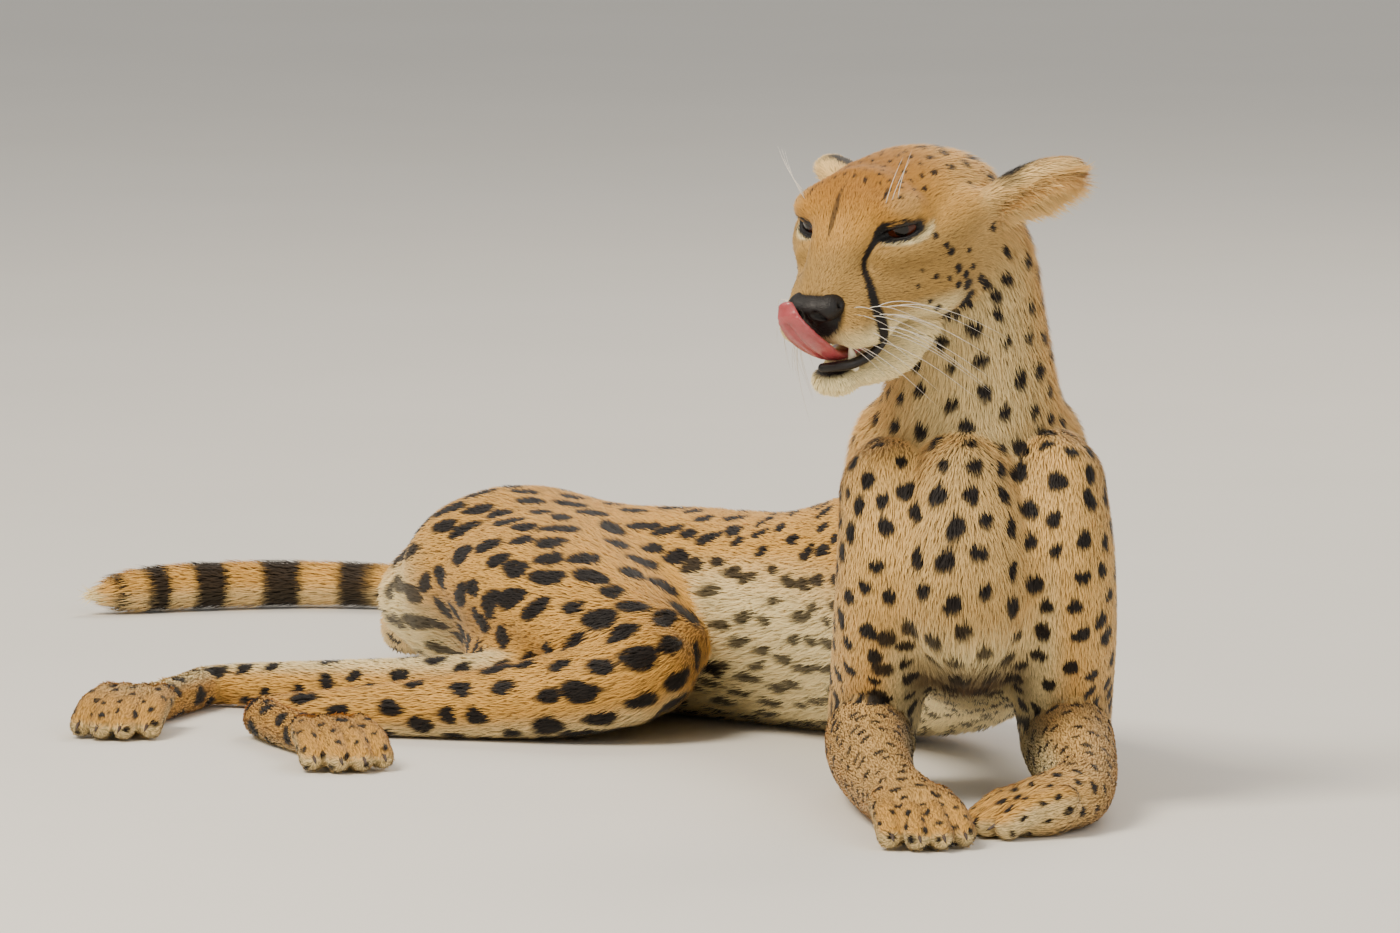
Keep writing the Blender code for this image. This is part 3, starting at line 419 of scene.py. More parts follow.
def ear_frame(name):
    """Middle of an ear in head millimetres and its length, width and opening directions."""
    base, along, opening = EARS[name]
    along = unit(along)
    opening = unit(np.array(opening) - np.dot(opening, along) * along)
    return np.array(base) + along * 26, np.array((along, np.cross(along, opening), opening))


def lid_slit(side):
    """The opening between the lids of one eye."""
    axes = eye_axes(side)
    middle = eye_centre(side) + axes[0] * 0.0185 - axes[2] * 0.0008
    return Blob(middle, (0.0085, 0.0178, 0.0050), axes, blend=0.0012)


def ear_blob(name):
    """A short rounded ear, before its cup is cut."""
    middle, own = ear_frame(name)
    return Blob(head_point(*middle), (0.040, 0.0285, 0.0145), own @ HEAD_AXES,
                blend=0.014, coat=0.0018)


EAR_BLOBS = {name: ear_blob(name) for name in EARS}


def face_forms():
    """Lids bulging over the eyeballs, and the two ears."""
    lids = [Blob(eye_centre(side), (0.0196, 0.0200, 0.0190), eye_axes(side),
                 blend=0.008, coat=0.0010) for side in SIDES.values()]
    return lids + list(EAR_BLOBS.values())


def hollows():
    """What is cut into the skin: the mouth, the slits of the lids and the cups of the ears."""
    cuts = [MOUTH] + [lid_slit(side) for side in SIDES.values()]
    for name in EARS:
        middle, own = ear_frame(name)
        cup = middle + own[0] * 3 + own[2] * 9
        cuts.append(Blob(head_point(*cup), (0.034, 0.0235, 0.0155), own @ HEAD_AXES,
                         blend=0.003))
    return cuts


BODY = trunk_forms() + leg_forms() + head_forms() + face_forms()
HOLLOWS = hollows()
print("forms in all:", len(BODY), "and", len(HOLLOWS), "hollows")

# %% [markdown]
# ## The skin
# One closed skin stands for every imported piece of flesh, so no seam shows. It is the
# surface where the distance to the coat's tips equals the coat's depth. We find it on a
# grid of boxes, with one point in each box that the surface crosses; the grid is close
# over the head and the feet and wide on the trunk. A voxel remesh would be as simple,
# but has one size everywhere.

# %% Distance to the skin
FLOOR_SKIN = 0.0006     # the skin is pressed flat this high above the floor
DEPTH_BLEND = 0.004     # over about this distance one form's coat depth gives way to the next


def soft_union(before, now, blend):
    """The smaller of two distances, rounded off where they are within blend."""
    overlap = np.maximum(blend - np.abs(before - now), 0.0) / blend
    return np.minimum(before, now) - overlap ** 2 * blend / 4.0


def points_near(form, p):
    """Which points are close enough to a form to ask for its distance."""
    return np.flatnonzero(np.all((p > form.low) & (p < form.high), axis=1))


def skin_distance(p):
    """Distance to the skin, negative inside."""
    total = np.full(len(p), FAR)
    depth = np.zeros(len(p))
    weight = np.full(len(p), 1e-30)
    for form in BODY:
        near = points_near(form, p)
        if len(near) == 0:
            continue
        now = form.distance(p[near])
        total[near] = soft_union(total[near], now, form.blend)
        share = np.exp(-np.clip(now, -0.03, 0.2) / DEPTH_BLEND)
        depth[near] += share * form.coat
        weight[near] += share
    total += depth / weight
    for form in HOLLOWS:
        near = points_near(form, p)
        total[near] = -soft_union(-total[near], form.distance(p[near]), form.blend)
    return np.maximum(total, FLOOR_SKIN - p[:, 2])


# %% Grid and surface
BODY_CELL = 0.0074
HIND_CELL = 0.0042
FOOT_CELL = 0.0034
HEAD_CELL = 0.0024
COARSE_STEP = 3         # the first look at the grid takes every third line
NEAR_STEPS = 2.3        # boxes this many steps from the surface are looked at again
CLOSE = {"x": ((-0.130, 0.088, HEAD_CELL), (-0.640, -0.410, HIND_CELL)),
         "y": ((-0.143, 0.088, HEAD_CELL), (-0.325, -0.143, FOOT_CELL),
               (0.110, 0.340, HIND_CELL)),
         "z": ((0.280, 0.470, HEAD_CELL), (-0.004, 0.046, FOOT_CELL))}


def grid_line(low, high, zones):
    """Positions along one axis, closer together inside the zones."""
    places = [low]
    while places[-1] < high:
        steps = [step for start, end, step in zones if start - 0.004 < places[-1] < end]
        places.append(places[-1] + min(steps + [BODY_CELL]))
    return np.array(places)


def along_axis(line, axis):
    """A line of numbers shaped to run along one axis of a grid."""
    return line.reshape([-1 if k == axis else 1 for k in range(3)])


def stretch(values, lines, picks):
    """Spreads a coarse grid of values over the full grid, by straight lines between them."""
    for axis in range(3):
        place = np.interp(lines[axis], lines[axis][picks[axis]], np.arange(len(picks[axis])))
        below = np.minimum(place.astype(int), len(picks[axis]) - 2)
        share = along_axis(place - below, axis)
        values = (np.take(values, below, axis) * (1.0 - share)
                  + np.take(values, below + 1, axis) * share)
    return values


def sample_grid(distance, lines):
    """Distances on the grid: on a coarse grid first, then closely near the surface."""
    picks = [np.unique(np.append(np.arange(0, len(line), COARSE_STEP), len(line) - 1))
             for line in lines]
    points = np.stack(np.meshgrid(*(line[pick] for line, pick in zip(lines, picks)),
                                  indexing="ij"), axis=-1)
    coarse = distance(points.reshape(-1, 3)).reshape([len(pick) for pick in picks])
    values = stretch(coarse, lines, picks)
    steps = [along_axis(np.gradient(line), axis) for axis, line in enumerate(lines)]
    band = NEAR_STEPS * np.maximum(np.maximum(steps[0], steps[1]), steps[2])
    close = np.nonzero(np.abs(values) < band)
    points = np.stack([line[index] for line, index in zip(lines, close)], axis=-1)
    values[close] = distance(points)
    return values


def boxes_round(edges, u, v, steps):
    """The boxes round each grid edge: each is some steps back along the axes u and v."""
    for du, dv in steps:
        box = edges.copy()
        box[:, u] -= du
        box[:, v] -= dv
        yield tuple(box.T)


def surface_net(values, lines):
    """Quads of the zero surface: one vertex in each box that the surface crosses."""
    inside = values < 0.0
    shape = np.array(values.shape) - 1
    totals = np.zeros((*shape, 3))
    counts = np.zeros(shape)
    crossings = []
    for axis in range(3):
        first = [slice(None)] * 3
        second = [slice(None)] * 3
        first[axis] = slice(0, -1)
        second[axis] = slice(1, None)
        crossed = np.stack(np.nonzero(inside[tuple(first)] != inside[tuple(second)]), axis=1)
        a = values[tuple(first)][tuple(crossed.T)]
        b = values[tuple(second)][tuple(crossed.T)]
        points = np.stack([line[crossed[:, k]] for k, line in enumerate(lines)], axis=1)
        line = lines[axis]
        points[:, axis] += a / (a - b) * (line[crossed[:, axis] + 1] - line[crossed[:, axis]])
        u, v = [k for k in range(3) if k != axis]
        for box in boxes_round(crossed, u, v, ((0, 0), (0, 1), (1, 0), (1, 1))):
            np.add.at(totals, box, points)
            np.add.at(counts, box, 1)
        crossings.append((axis, crossed, a < 0.0))
    active = counts > 0
    index = np.full(active.shape, -1)
    index[active] = np.arange(active.sum())
    vertices = totals[active] / counts[active][:, None]
    quads = []
    for axis, crossed, leaving in crossings:
        boxes = boxes_round(crossed, (axis + 1) % 3, (axis + 2) % 3,
                            ((1, 1), (0, 1), (0, 0), (1, 0)))
        quad = np.stack([index[box] for box in boxes], axis=1)
        quad[~leaving] = quad[~leaving][:, ::-1]
        quads.append(quad)
    return vertices, np.vstack(quads)


def settle(distance, vertices, step=0.0004, most=0.002):
    """Pulls the vertices onto the surface along its slope."""
    value = distance(vertices)
    slope = np.stack([distance(vertices + step * axis) - value for axis in np.eye(3)],
                     axis=1) / step
    length = np.maximum(np.sum(slope ** 2, axis=1), 0.25)
    return vertices - np.clip(value / length, -most, most)[:, None] * slope


low = np.min([form.low for form in BODY], axis=0) + 0.02
high = np.max([form.high for form in BODY], axis=0) - 0.02
grid = [grid_line(low[0], high[0], CLOSE["x"]), grid_line(low[1], high[1], CLOSE["y"]),
        grid_line(-0.006, high[2], CLOSE["z"])]
print("grid", [len(line) for line in grid])
skin_points, skin_quads = surface_net(sample_grid(skin_distance, grid), grid)
skin_points = settle(skin_distance, skin_points)
print("skin:", len(skin_points), "points,", len(skin_quads), "quads")

# %% [markdown]
# ## From points to pieces
# Every piece is a mesh whose object sits at the origin, with its place in its mesh.
# The forms above are drawn round a point under the breastbone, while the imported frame
# has its origin under the middle of the animal, so one shift, found from the left
# eyeball, moves each finished mesh into the frame.

# %% Making a piece
low_eye, high_eye = (np.array(corner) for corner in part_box("eye_left"))
SHIFT = (low_eye + high_eye) / 2 - eye_centre(1)
SHIFT[2] = 0.0
SKIN_TRIANGLES = 194000
scene = bpy.context.scene


def add_piece(name, points, faces, material=None):
    """A smooth-shaded mesh object from points of the drawing."""
    mesh = bpy.data.meshes.new(name)
    mesh.from_pydata((np.asarray(points) + SHIFT).tolist(), [], np.asarray(faces).tolist()
                     if isinstance(faces, np.ndarray) else faces)
    mesh.shade_smooth()
    piece = bpy.data.objects.new(name, mesh)
    scene.collection.objects.link(piece)
    if material:
        mesh.materials.append(material)
    return piece


def fetch(items, key, width=1, kind=np.float32):
    """One value, or a row of width values, of every item of a mesh as an array."""
    values = np.zeros(len(items) * width, kind)
    items.foreach_get(key, values)
    return values.reshape(-1, width) if width > 1 else values


def write(mesh, name, values):
    """Stores an array on a mesh as an attribute of its points."""
    values = np.ascontiguousarray(values, np.float32)
    kind = "FLOAT_VECTOR" if values.ndim == 2 else "FLOAT"
    layer = mesh.attributes.get(name) or mesh.attributes.new(name, kind, "POINT")
    layer.data.foreach_set("vector" if values.ndim == 2 else "value", values.ravel())


skin = add_piece("skin", skin_points, skin_quads)
# the net is a little closer than one piece may be, so it is thinned out by about a twentieth
thin = skin.modifiers.new("Thin out", "DECIMATE")
thin.ratio = SKIN_TRIANGLES / (2 * len(skin_quads))
thinned = bpy.data.meshes.new_from_object(
    skin.evaluated_get(bpy.context.evaluated_depsgraph_get()))
skin.modifiers.clear()
skin.data = thinned
skin.data.shade_smooth()
skin_points = fetch(skin.data.vertices, "co", 3).astype(float) - SHIFT
skin_normals = fetch(skin.data.vertex_normals, "vector", 3).astype(float)
skin_tree = bvhtree.BVHTree.FromObject(skin, bpy.context.evaluated_depsgraph_get())
print("shift", SHIFT.round(4), "skin points", len(skin_points))

# %% [markdown]
# ## Where on the body
# Hair length, its lie, its colour and the size of the spots all depend on the part of
# the body. Each point of the skin asks every part how near it is; the shares of the
# nearest parts then blend, so nothing changes in a step.

# %% Shares of the parts
PARTS = {"trunk": TRUNK, "neck": NECK, "tail": TAIL, **LEGS}
TOE_FORMS = {foot: [Tube(toe_rows(*FEET[foot], place), UP, blend=0.01) for place in TOE_PLACES]
             for foot in FEET}
SKULL = head_forms()
PART_BLEND = 0.007      # over about this distance one part's share gives way to the next


def shares_and_lie(p):
    """Share of each part at each point, the lie of the hair and the place along each part."""
    names, distances, ways, places = [], [], [], {}
    for name, part in PARTS.items():
        distance, tangent, place = part.nearest(p)
        names.append(name)
        distances.append(distance)
        if name == "trunk":
            # on the breast the hair turns and runs down between the forelegs
            turned = ramp(place[:, 0], 0.24, 0.08)[:, None]
            tangent = unit(tangent * (1 - turned) + turned * np.array((0.0, 0.25, -0.97)))
        if name.startswith("hind"):
            # the hair of the haunch still follows the back
            back = ramp(place[:, 0], 0.45, 0.12)[:, None]
            tangent = unit(tangent * (1 - back) + ways[0] * back)
        ways.append(tangent)
        places[name] = place
    names.append("head")
    distances.append(np.min([form.distance(p) for form in SKULL], axis=0))
    ways.append(unit(p - head_point(66, 0, -30)))
    for ear, blob in EAR_BLOBS.items():
        names.append("ear_" + ear)
        distances.append(blob.distance(p) - 0.003)
        own = ear_frame(ear)[1] @ HEAD_AXES
        offset = p - blob.centre
        ways.append(unit(own[0] + 12.0 * (offset @ own[1])[:, None] * own[1]))
    for foot, toes in TOE_FORMS.items():
        names.append("foot_" + foot)
        distances.append(np.min([toe.distance(p) for toe in toes], axis=0) - 0.002)
        ways.append(np.broadcast_to(unit(FEET[foot][1]), p.shape))
    weights = np.exp(-np.clip(np.array(distances), -0.02, 0.5) / PART_BLEND)
    weights /= weights.sum(axis=0)
    lie = np.sum(weights[:, :, None] * np.array(ways), axis=0)
    return dict(zip(names, weights)), lie, places


def smooth_over(mesh, values, rounds):
    """Averages a vector with its neighbours on the mesh, again and again."""
    ends = fetch(mesh.edges, "vertices", 2, np.int32)
    here, there = np.append(ends[:, 0], ends[:, 1]), np.append(ends[:, 1], ends[:, 0])
    count = np.maximum(np.bincount(here, minlength=len(values)), 1)
    for _ in range(rounds):
        around = [np.bincount(here, values[there, k], len(values)) / count for k in range(3)]
        values = 0.5 * values + 0.5 * np.stack(around, axis=1)
    return values


def along_skin(ways):
    """Directions at the points of the skin, laid flat on it."""
    return unit(ways - np.sum(ways * skin_normals, axis=1)[:, None] * skin_normals)


shares, lie, places = shares_and_lie(skin_points)
lie = along_skin(lie)
print({name: int(1000 * share.mean()) / 10 for name, share in shares.items()})

# %% [markdown]
# ## Length of the hair
# Short and close on the face, the legs and the feet, longer on the trunk and the neck,
# longest on the belly, in the cups of the ears and at the end of the tail.

# %% Coat sizes
# length and width of a tuft in millimetres, lift off the skin in degrees, tufts per cm2
COAT = {"trunk": (9.8, 1.1, 13, 54), "neck": (11.5, 1.0, 17, 66), "tail": (12.0, 1.1, 14, 48),
        "fore": (7.4, 0.95, 7, 62), "hind": (8.0, 1.0, 9, 52), "foot": (5.4, 0.85, 6, 82),
        "head": (5.0, 0.65, 11, 125), "ear": (7.0, 0.7, 13, 115)}
tuft = sum(share[:, None] * np.array(COAT[name.split("_")[0]], float)
           for name, share in shares.items())
at_head = head_mm(skin_points)
ahead, beside, above = at_head[:, 0], np.abs(at_head[:, 1]), at_head[:, 2]
head_share = shares["head"]
longer = (3.0 * ramp(ahead, -15, -70) + 4.0 * ramp(above, -60, -85) * ramp(ahead, 10, -30)
          + 3.5 * ramp(above, -84, -98) - 1.4 * ramp(ahead, 10, 40))
tuft[:, 0] += head_share * longer
tail_end = shares["tail"] * ramp(places["tail"][:, 0], 0.80, 0.97)
tuft[:, 0] += 9.0 * tail_end
belly_way = np.stack([np.interp(places["trunk"][:, 0], np.linspace(0, 1, len(SPINE)), axis)
                      for axis in spine_belly.T], axis=1)
facing_belly = np.sum(skin_normals * unit(belly_way), axis=1)
belly = shares["trunk"] * ramp(facing_belly, 0.25, 0.85)
tuft[:, 0] += 6.0 * belly
bare = ramp(MOUTH.distance(skin_points), 0.0046, 0.0030) * ramp(ahead, 18, 26)
for side in SIDES.values():
    bare = np.maximum(bare, ramp(lid_slit(side).distance(skin_points), 0.0030, 0.0018))
# long pale hair grows out of the cup of each ear and covers its lower edge; the ear that
# is laid back shows little of it
CUP_HAIR = {"left": 1.0, "right": 0.3}
cup_share = np.zeros(len(skin_points))
for name in EARS:
    middle, own = ear_frame(name)
    offset = (at_head - middle) @ own.T
    inside = ramp(skin_normals @ (own[2] @ HEAD_AXES), 0.05, 0.45)
    inside *= ramp(np.hypot(offset[:, 0] / 38, offset[:, 1] / 27), 1.05, 0.85)
    inside *= shares["ear_" + name] * CUP_HAIR[name]
    cup_share += inside
    fan = unit((own[0] * 0.45 + own[2] * 0.75) @ HEAD_AXES
               + 18.0 * (offset[:, 1:2] / 1000) * (own[1] @ HEAD_AXES))
    lie = unit(lie * (1 - inside[:, None]) + fan * inside[:, None])
lie = along_skin(unit(smooth_over(skin.data, lie, 24)))
write(skin.data, "lie", lie)
tuft[:, 0] += 13.0 * cup_share
tuft[:, 2] += 22.0 * cup_share
nose_pad = Blob(head_point(58, 0, -41.5), (0.0150, 0.0190, 0.0145), HEAD_AXES)
bare = np.maximum(bare, ramp(nose_pad.distance(skin_points), 0.0015, 0.0))
under = ramp(skin_points[:, 2], 0.0045, 0.0015)
tuft[:, 3] *= (1.0 - bare) * (1.0 - 0.8 * under)
# from millimetres, degrees and tufts per cm2 to metres, radians and tufts per m2
TUFT_UNITS = {"hair_length": 0.001, "hair_width": 0.001, "hair_lift": math.pi / 180,
              "hair_density": 10000.0}
for column, (name, scale) in enumerate(TUFT_UNITS.items()):
    write(skin.data, name, tuft[:, column] * scale)
print("hair from", tuft[:, 0].min().round(1), "to", tuft[:, 0].max().round(1), "mm")

# %% [markdown]
# ## Pale and golden zones
# The ground colour runs from gold on the crown, the back and the forearms, through tan,
# to cream on the belly, the chin and the insides of the legs. Each zone is a soft mask.
# On the head the gold and the grey are partly the coat's own colour and partly painted
# shade.

# %% Ground colour masks
feet = sum(shares["foot_" + foot] for foot in FEET)
ears = shares["ear_left"] + shares["ear_right"]
inward = {"fore_right": (0.8, -0.2, -0.5), "fore_left": (-0.8, -0.2, -0.5),
          "hind_right": (0.0, 0.0, -1.0), "hind_left": (0.0, 0.2, 1.0)}
pale = 0.95 * belly
for name, way in inward.items():
    pale += shares[name] * ramp(skin_normals @ unit(way), 0.25, 0.9) * 0.8
pale += feet * ramp(skin_normals[:, 2], 0.55, -0.1) * 0.75
white = head_share * np.maximum.reduce((
    ramp(above, -44, -62) * ramp(ahead, -48, -10),
    ramp(above, -66, -80) * ramp(ahead, -75, -30),
    ramp(np.abs(np.hypot(ahead - 1, (above - 12) * 1.1) - 22), 4.0, 1.5) * ramp(beside, 24, 30)
    * ramp(above, 2, -4) * 0.85,
    ramp(np.hypot(ahead + 4, (above - 17) * 1.3), 16, 6) * ramp(beside, 28, 40) * 0.15))
throat = shares["neck"] * ramp(-skin_normals[:, 1], 0.2, 0.9)
pale += white + 0.30 * throat + 0.45 * ears + 0.12 * shares["neck"]
pale += 0.20 * (shares["fore_right"] + shares["fore_left"])
pale += 0.20 * shares["trunk"] * ramp(skin_points[:, 1], 0.10, -0.03)
pale += shares["tail"] * (0.55 * ramp(skin_normals[:, 2], 0.3, -0.5) + 0.9 * ramp(
    places["tail"][:, 0], 0.955, 0.975))
# on the head the gold is partly the coat's own colour and partly painted shade, which darkens the
# whole head
gold = (head_share * (0.40 + 0.60 * ramp(above, 2, 30))
        + feet * ramp(skin_normals[:, 2], 0.2, 0.9) * 0.2
        + 0.45 * shares["trunk"] * ramp(facing_belly, 0, -0.9)
        + 0.1 * (shares["fore_right"] + shares["fore_left"]) * ramp(skin_points[:, 2], 0.16, 0.06))
grey = 0.75 * throat + 0.5 * shares["trunk"] * ramp(skin_points[:, 1], -0.03, -0.09)
# the lower head is painted greyer and darker: partly its own colour, partly painted shade
grey += head_share * ramp(above, 10, -14) * 0.75
# painted shade: the hollow between the forelegs, where shade falls, is painted browner and darker
painted_hollow_shade = ramp(skin_points[:, 1], 0.02, -0.05) * ramp(skin_points[:, 2], 0.125, 0.085)
painted_hollow_shade *= ramp(np.abs(skin_points[:, 0] - 0.006), 0.055, 0.03) * ramp(
    skin_points[:, 1], -0.13, -0.10)
# the mask named brown carries this painted shade, not a colour of the coat
for name, mask in (("pale", pale), ("gold", gold), ("grey", grey), ("bare", bare),
                   ("brown", painted_hollow_shade)):
    write(skin.data, name, np.clip(mask, 0.0, 1.0))
print("pale share of the skin:", round(float(np.clip(pale, 0, 1).mean()), 2))

# %% [markdown]
# ## Spots
# A cheetah's spots are solid, round to oval and nearly black, with their middles about
# one and a half spots apart. They are strewn so that no two come closer than the spacing
# of their part of the body: small and close on the head and the feet, large and drawn
# out along the lie of the coat on the haunch. A texture node could make dots as well,
# but not their changing size, or the dashes and rings that belong to one place.

# %% Strewing the spots
SEED = 11
SPACING_SCALE = 0.00086     # millimetres to metres, and 14% closer than the plan says
# spacing and radius in millimetres, and how drawn out the spot is
SPOTS = {"trunk": (23.0, 6.9, 1.10), "neck": (20.5, 5.5, 1.05), "tail": (28.0, 7.6, 1.15),
         "fore": (20.5, 6.2, 1.05), "hind": (23.5, 7.4, 1.25), "foot": (13.0, 2.4, 1.5),
         "head": (12.5, 2.2, 1.05), "ear": (60.0, 2.0, 1.0)}
plan = sum(share[:, None] * np.array(SPOTS[name.split("_")[0]], float)
           for name, share in shares.items())
haunch = shares["trunk"] * ramp(places["trunk"][:, 0], 0.50, 0.72)
haunch += shares["hind_right"] * ramp(places["hind_right"][:, 0], 0.50, 0.30)
flank = belly + 0.7 * shares["trunk"] * ramp(facing_belly, -0.35, 0.25) * (1 - haunch)
flank = np.clip(flank * ramp(skin_points[:, 1], 0.04, 0.12), 0, 1)
wrist = sum(shares[name] * ramp(places[name][:, 0], 0.50, 0.66) for name in
            ("fore_right", "fore_left"))
crown = head_share * ramp(above, 12, 26)
nape = head_share * ramp(above, -25, -50) * ramp(ahead, -10, -40)
# what each region adds to the spacing, the radius and the drawing out
for region_share, change in ((haunch, (4.0, 1.5, 0.38)), (flank, (-2.0, -2.3, 1.0)),
                             (wrist, (-4.0, -1.6, -0.38)), (crown, (-3.5, -0.4, 0.0)),
                             (nape, (4.0, 2.2, 0.0))):
    plan += region_share[:, None] * np.array(change)
# where no spots are strewn: the face, the ears, the end of the tail and under the body
free = (head_share * ramp(ahead, -70, -62) * ramp(above, 20, 10) + 0.9 * ears
        + head_share * ramp(ahead, -10, 0) + shares["tail"]
        * ramp(places["tail"][:, 0], 0.62, 0.66) + under)


def strew(points, spacing, allowed, seed):
    """Points in random order, each kept if no kept one is nearer than its spacing."""
    chance = np.random.default_rng(seed)
    order = chance.permutation(np.flatnonzero(allowed))
    kept = np.zeros((0, 3))
    chosen = []
    for index in order:
        gaps = np.sum((kept - points[index]) ** 2, axis=1)
        if np.all(gaps >= spacing[index] ** 2):
            chosen.append(index)
            kept = np.vstack((kept, points[index]))
    return np.array(chosen)


chosen = strew(skin_points, plan[:, 0] * SPACING_SCALE, free < 0.4, SEED)
chance = np.random.default_rng(SEED)
spot_count = len(chosen)
spots = {"centre": skin_points[chosen], "along": lie[chosen],
         "across": np.cross(skin_normals[chosen], lie[chosen]),
         "radius": plan[chosen, 1] / 1000 * chance.uniform(0.78, 1.18, spot_count),
         "drawn": plan[chosen, 2] * chance.uniform(0.85, 1.2, spot_count),
         "turn": chance.uniform(-0.35, 0.35, spot_count),
         "phase": chance.uniform(0, 2 * math.pi, (spot_count, 2)),
         "strength": 1.0 - 0.12 * belly[chosen] - 0.1 * crown[chosen]}
print("spots:", spot_count)

# %% Marks that belong to one place


def on_skin(points):
    """Points of the drawing moved to the nearest place on the skin."""
    found = [skin_tree.find_nearest(Vector(point + SHIFT))[0] for point in points]
    return np.array(found) - SHIFT


def stroke(rows):
    """A mark through rows of forward, left, up and half width, all in head millimetres."""
    curve = catmull(rows, 6)
    places = on_skin(np.array([head_point(*row[:3]) for row in curve]))
    return places, np.maximum(curve[:, 3], 0.2) / 1000.0


# forward, left, up and half width in head millimetres; each is drawn on both sides
HEAD_MARKS = {
    "tear line": ((9, 31, 3, 4.2), (13, 25, -4, 2.9), (22, 22, -12, 2.6), (29, 24, -24, 3.0),
                  (36, 31, -36, 4.0), (38, 37, -52, 5.2), (36, 35, -64, 4.4)),
    "upper lid": ((10, 29, 4, 2.2), (7.5, 32, 7, 2.0), (4, 38, 8.5, 1.5), (-4, 45, 8, 1.2)),
    "brow streak": ((-10, 28, 27, 1.2), (-3, 30, 24, 1.8), (3, 31, 21, 1.0))}
# one streak down the forehead, in the same units
FOREHEAD = ((-5, 0, 34, 1.0), (10, -2, 21, 2.5), (20, -2, 11, 2.3), (30, -1, 2, 0.8))
# rows of spots on each cheek: both ends, how many, and the half widths at both ends;
# each spot falls a little out of its row
CHEEK_ROWS = {"eye corner to jaw": ((-14, 54, -8), (-40, 58, -60), 7, 2.6, 5.0),
              "below the eye": ((0, 52, -28), (-24, 60, -48), 4, 1.8, 3.0),
              "temple to neck": ((-36, 66, -30), (-60, 66, -72), 5, 2.8, 4.8),
              "cheekbone to jaw corner": ((6, 47, -38), (-36, 46, -76), 5, 2.0, 3.8)}
# bars of the forelegs: place along the leg and degrees round it at both ends, half width
LEG_BARS = (("fore_right", (0.22, 90), (0.27, 95), 7.5),
            ("fore_right", (0.36, 165), (0.30, 110), 2.6),
            ("fore_right", (0.39, 155), (0.37, 105), 2.8),
            ("fore_left", (0.44, 190), (0.41, 120), 4.8))


def limb_point(name, place, angle):
    """A point on the skin, part of the way along a leg and turned round it."""
    tube = LEGS[name]
    row = int(place * (len(tube.points) - 1))
    tangent = unit(tube.points[row + 1] - tube.points[row])
    side = unit(tube.sides[row] - (tube.sides[row] @ tangent) * tangent)
    turned = math.radians(angle)
    out = math.cos(turned) * side + math.sin(turned) * np.cross(tangent, side)
    return on_skin([tube.points[row] + out * tube.radii[row].max()])[0]


# a stroke is its places, its half width at each, and how dark it is from 0 to 1
strokes = []
for side in SIDES.values():
    for rows in HEAD_MARKS.values():
        strokes.append((*stroke([(row[0], side * row[1], *row[2:]) for row in rows]), 1.0))
    for first, last, count, small, large in CHEEK_ROWS.values():
        for part in np.linspace(0.0, 1.0, count):
            ahead_mm, beside_mm, above_mm = (np.array(first) * (1 - part)
                                             + np.array(last) * part + chance.normal(0, 1.6, 3))
            half = (small + (large - small) * part) * chance.uniform(0.85, 1.15)
            place = on_skin([head_point(ahead_mm, side * beside_mm, above_mm)])
            strokes.append((place, np.array([half / 1000]), 1.0))
strokes.append((*stroke(FOREHEAD), 0.72))
for name, first, last, half in LEG_BARS:
    bar = [limb_point(name, *(np.array(first) * (1 - part) + np.array(last) * part))
           for part in np.linspace(0.0, 1.0, 7)]
    strokes.append((np.array(bar), np.full(7, half / 1000), 0.97))
# dark lines along the grooves between the toes are painted shade in the creases
for knuckle, forward, length in FEET.values():
    for gap in (-1, 0, 1):
        rows = np.array(toe_rows(knuckle, forward, length, gap))
        curve = catmull([(*(row[:3] + UP * 0.012), 1.3) for row in rows[1:]], 6)
        strokes.append((on_skin(curve[:, :3]), curve[:, 3] / 1000, 0.8))
print("marks in fixed places:", len(strokes))

# %% [markdown]
# ## One rule for skin and hair
# The same function says how dark any point is. The skin asks it for its points and each
# tuft for its root, its middle and its tip, so both carry the same markings, and the
# edges of the spots break up hair by hair.

# %% Darkness at a point


def dark_at(points):
    """How much of the black-brown of the markings, and of the painted shade between the toes, each
    point has.
    """
    order = np.argsort(points[:, 1])
    ordered = points[order]
    lengthwise = ordered[:, 1]
    dark = np.zeros(len(points))

    def near(centre, reach):
        first, last = np.searchsorted(lengthwise, (centre[1] - reach, centre[1] + reach))
        offset = ordered[first:last] - centre
        close = np.flatnonzero(np.sum(offset ** 2, axis=1) < reach ** 2)
        return close + first, offset[close]

    for k in range(spot_count):
        radius, drawn = spots["radius"][k], spots["drawn"][k]
        found, offset = near(spots["centre"][k], radius * max(drawn, 1.0) * 1.4)
        turn = spots["turn"][k]
        along, across = offset @ spots["along"][k], offset @ spots["across"][k]
        u = (along * math.cos(turn) + across * math.sin(turn)) / drawn
        v = across * math.cos(turn) - along * math.sin(turn)
        angle = np.arctan2(v, u)
        # the edge of a spot wavers a little
        first, second = spots["phase"][k]
        edge = radius * (1 + 0.11 * np.cos(2 * angle + first) + 0.08 * np.cos(3 * angle + second))
        mask = ramp(np.hypot(u, v), edge * 1.10, edge * 0.86) * spots["strength"][k]
        dark[found] = np.maximum(dark[found], mask)
    for places, widths, strength in strokes:
        for place, width in zip(places, widths):
            found, offset = near(place, width * 1.4)
            mask = ramp(np.linalg.norm(offset, axis=1), width * 1.25, width * 0.8) * strength
            dark[found] = np.maximum(dark[found], mask)
    unordered = np.zeros(len(points))
    unordered[order] = dark
    return unordered


def tail_rings(points):
    """Black rings of the last third of the tail, and its white tip."""
    _, _, place = TAIL.nearest(points)
    along = place[:, 0]
    ring = ramp(np.cos((along - 0.66) / 0.072 * 2 * math.pi), -0.25, 0.15)
    return ring * ramp(along, 0.63, 0.66) * ramp(along, 0.965, 0.95)


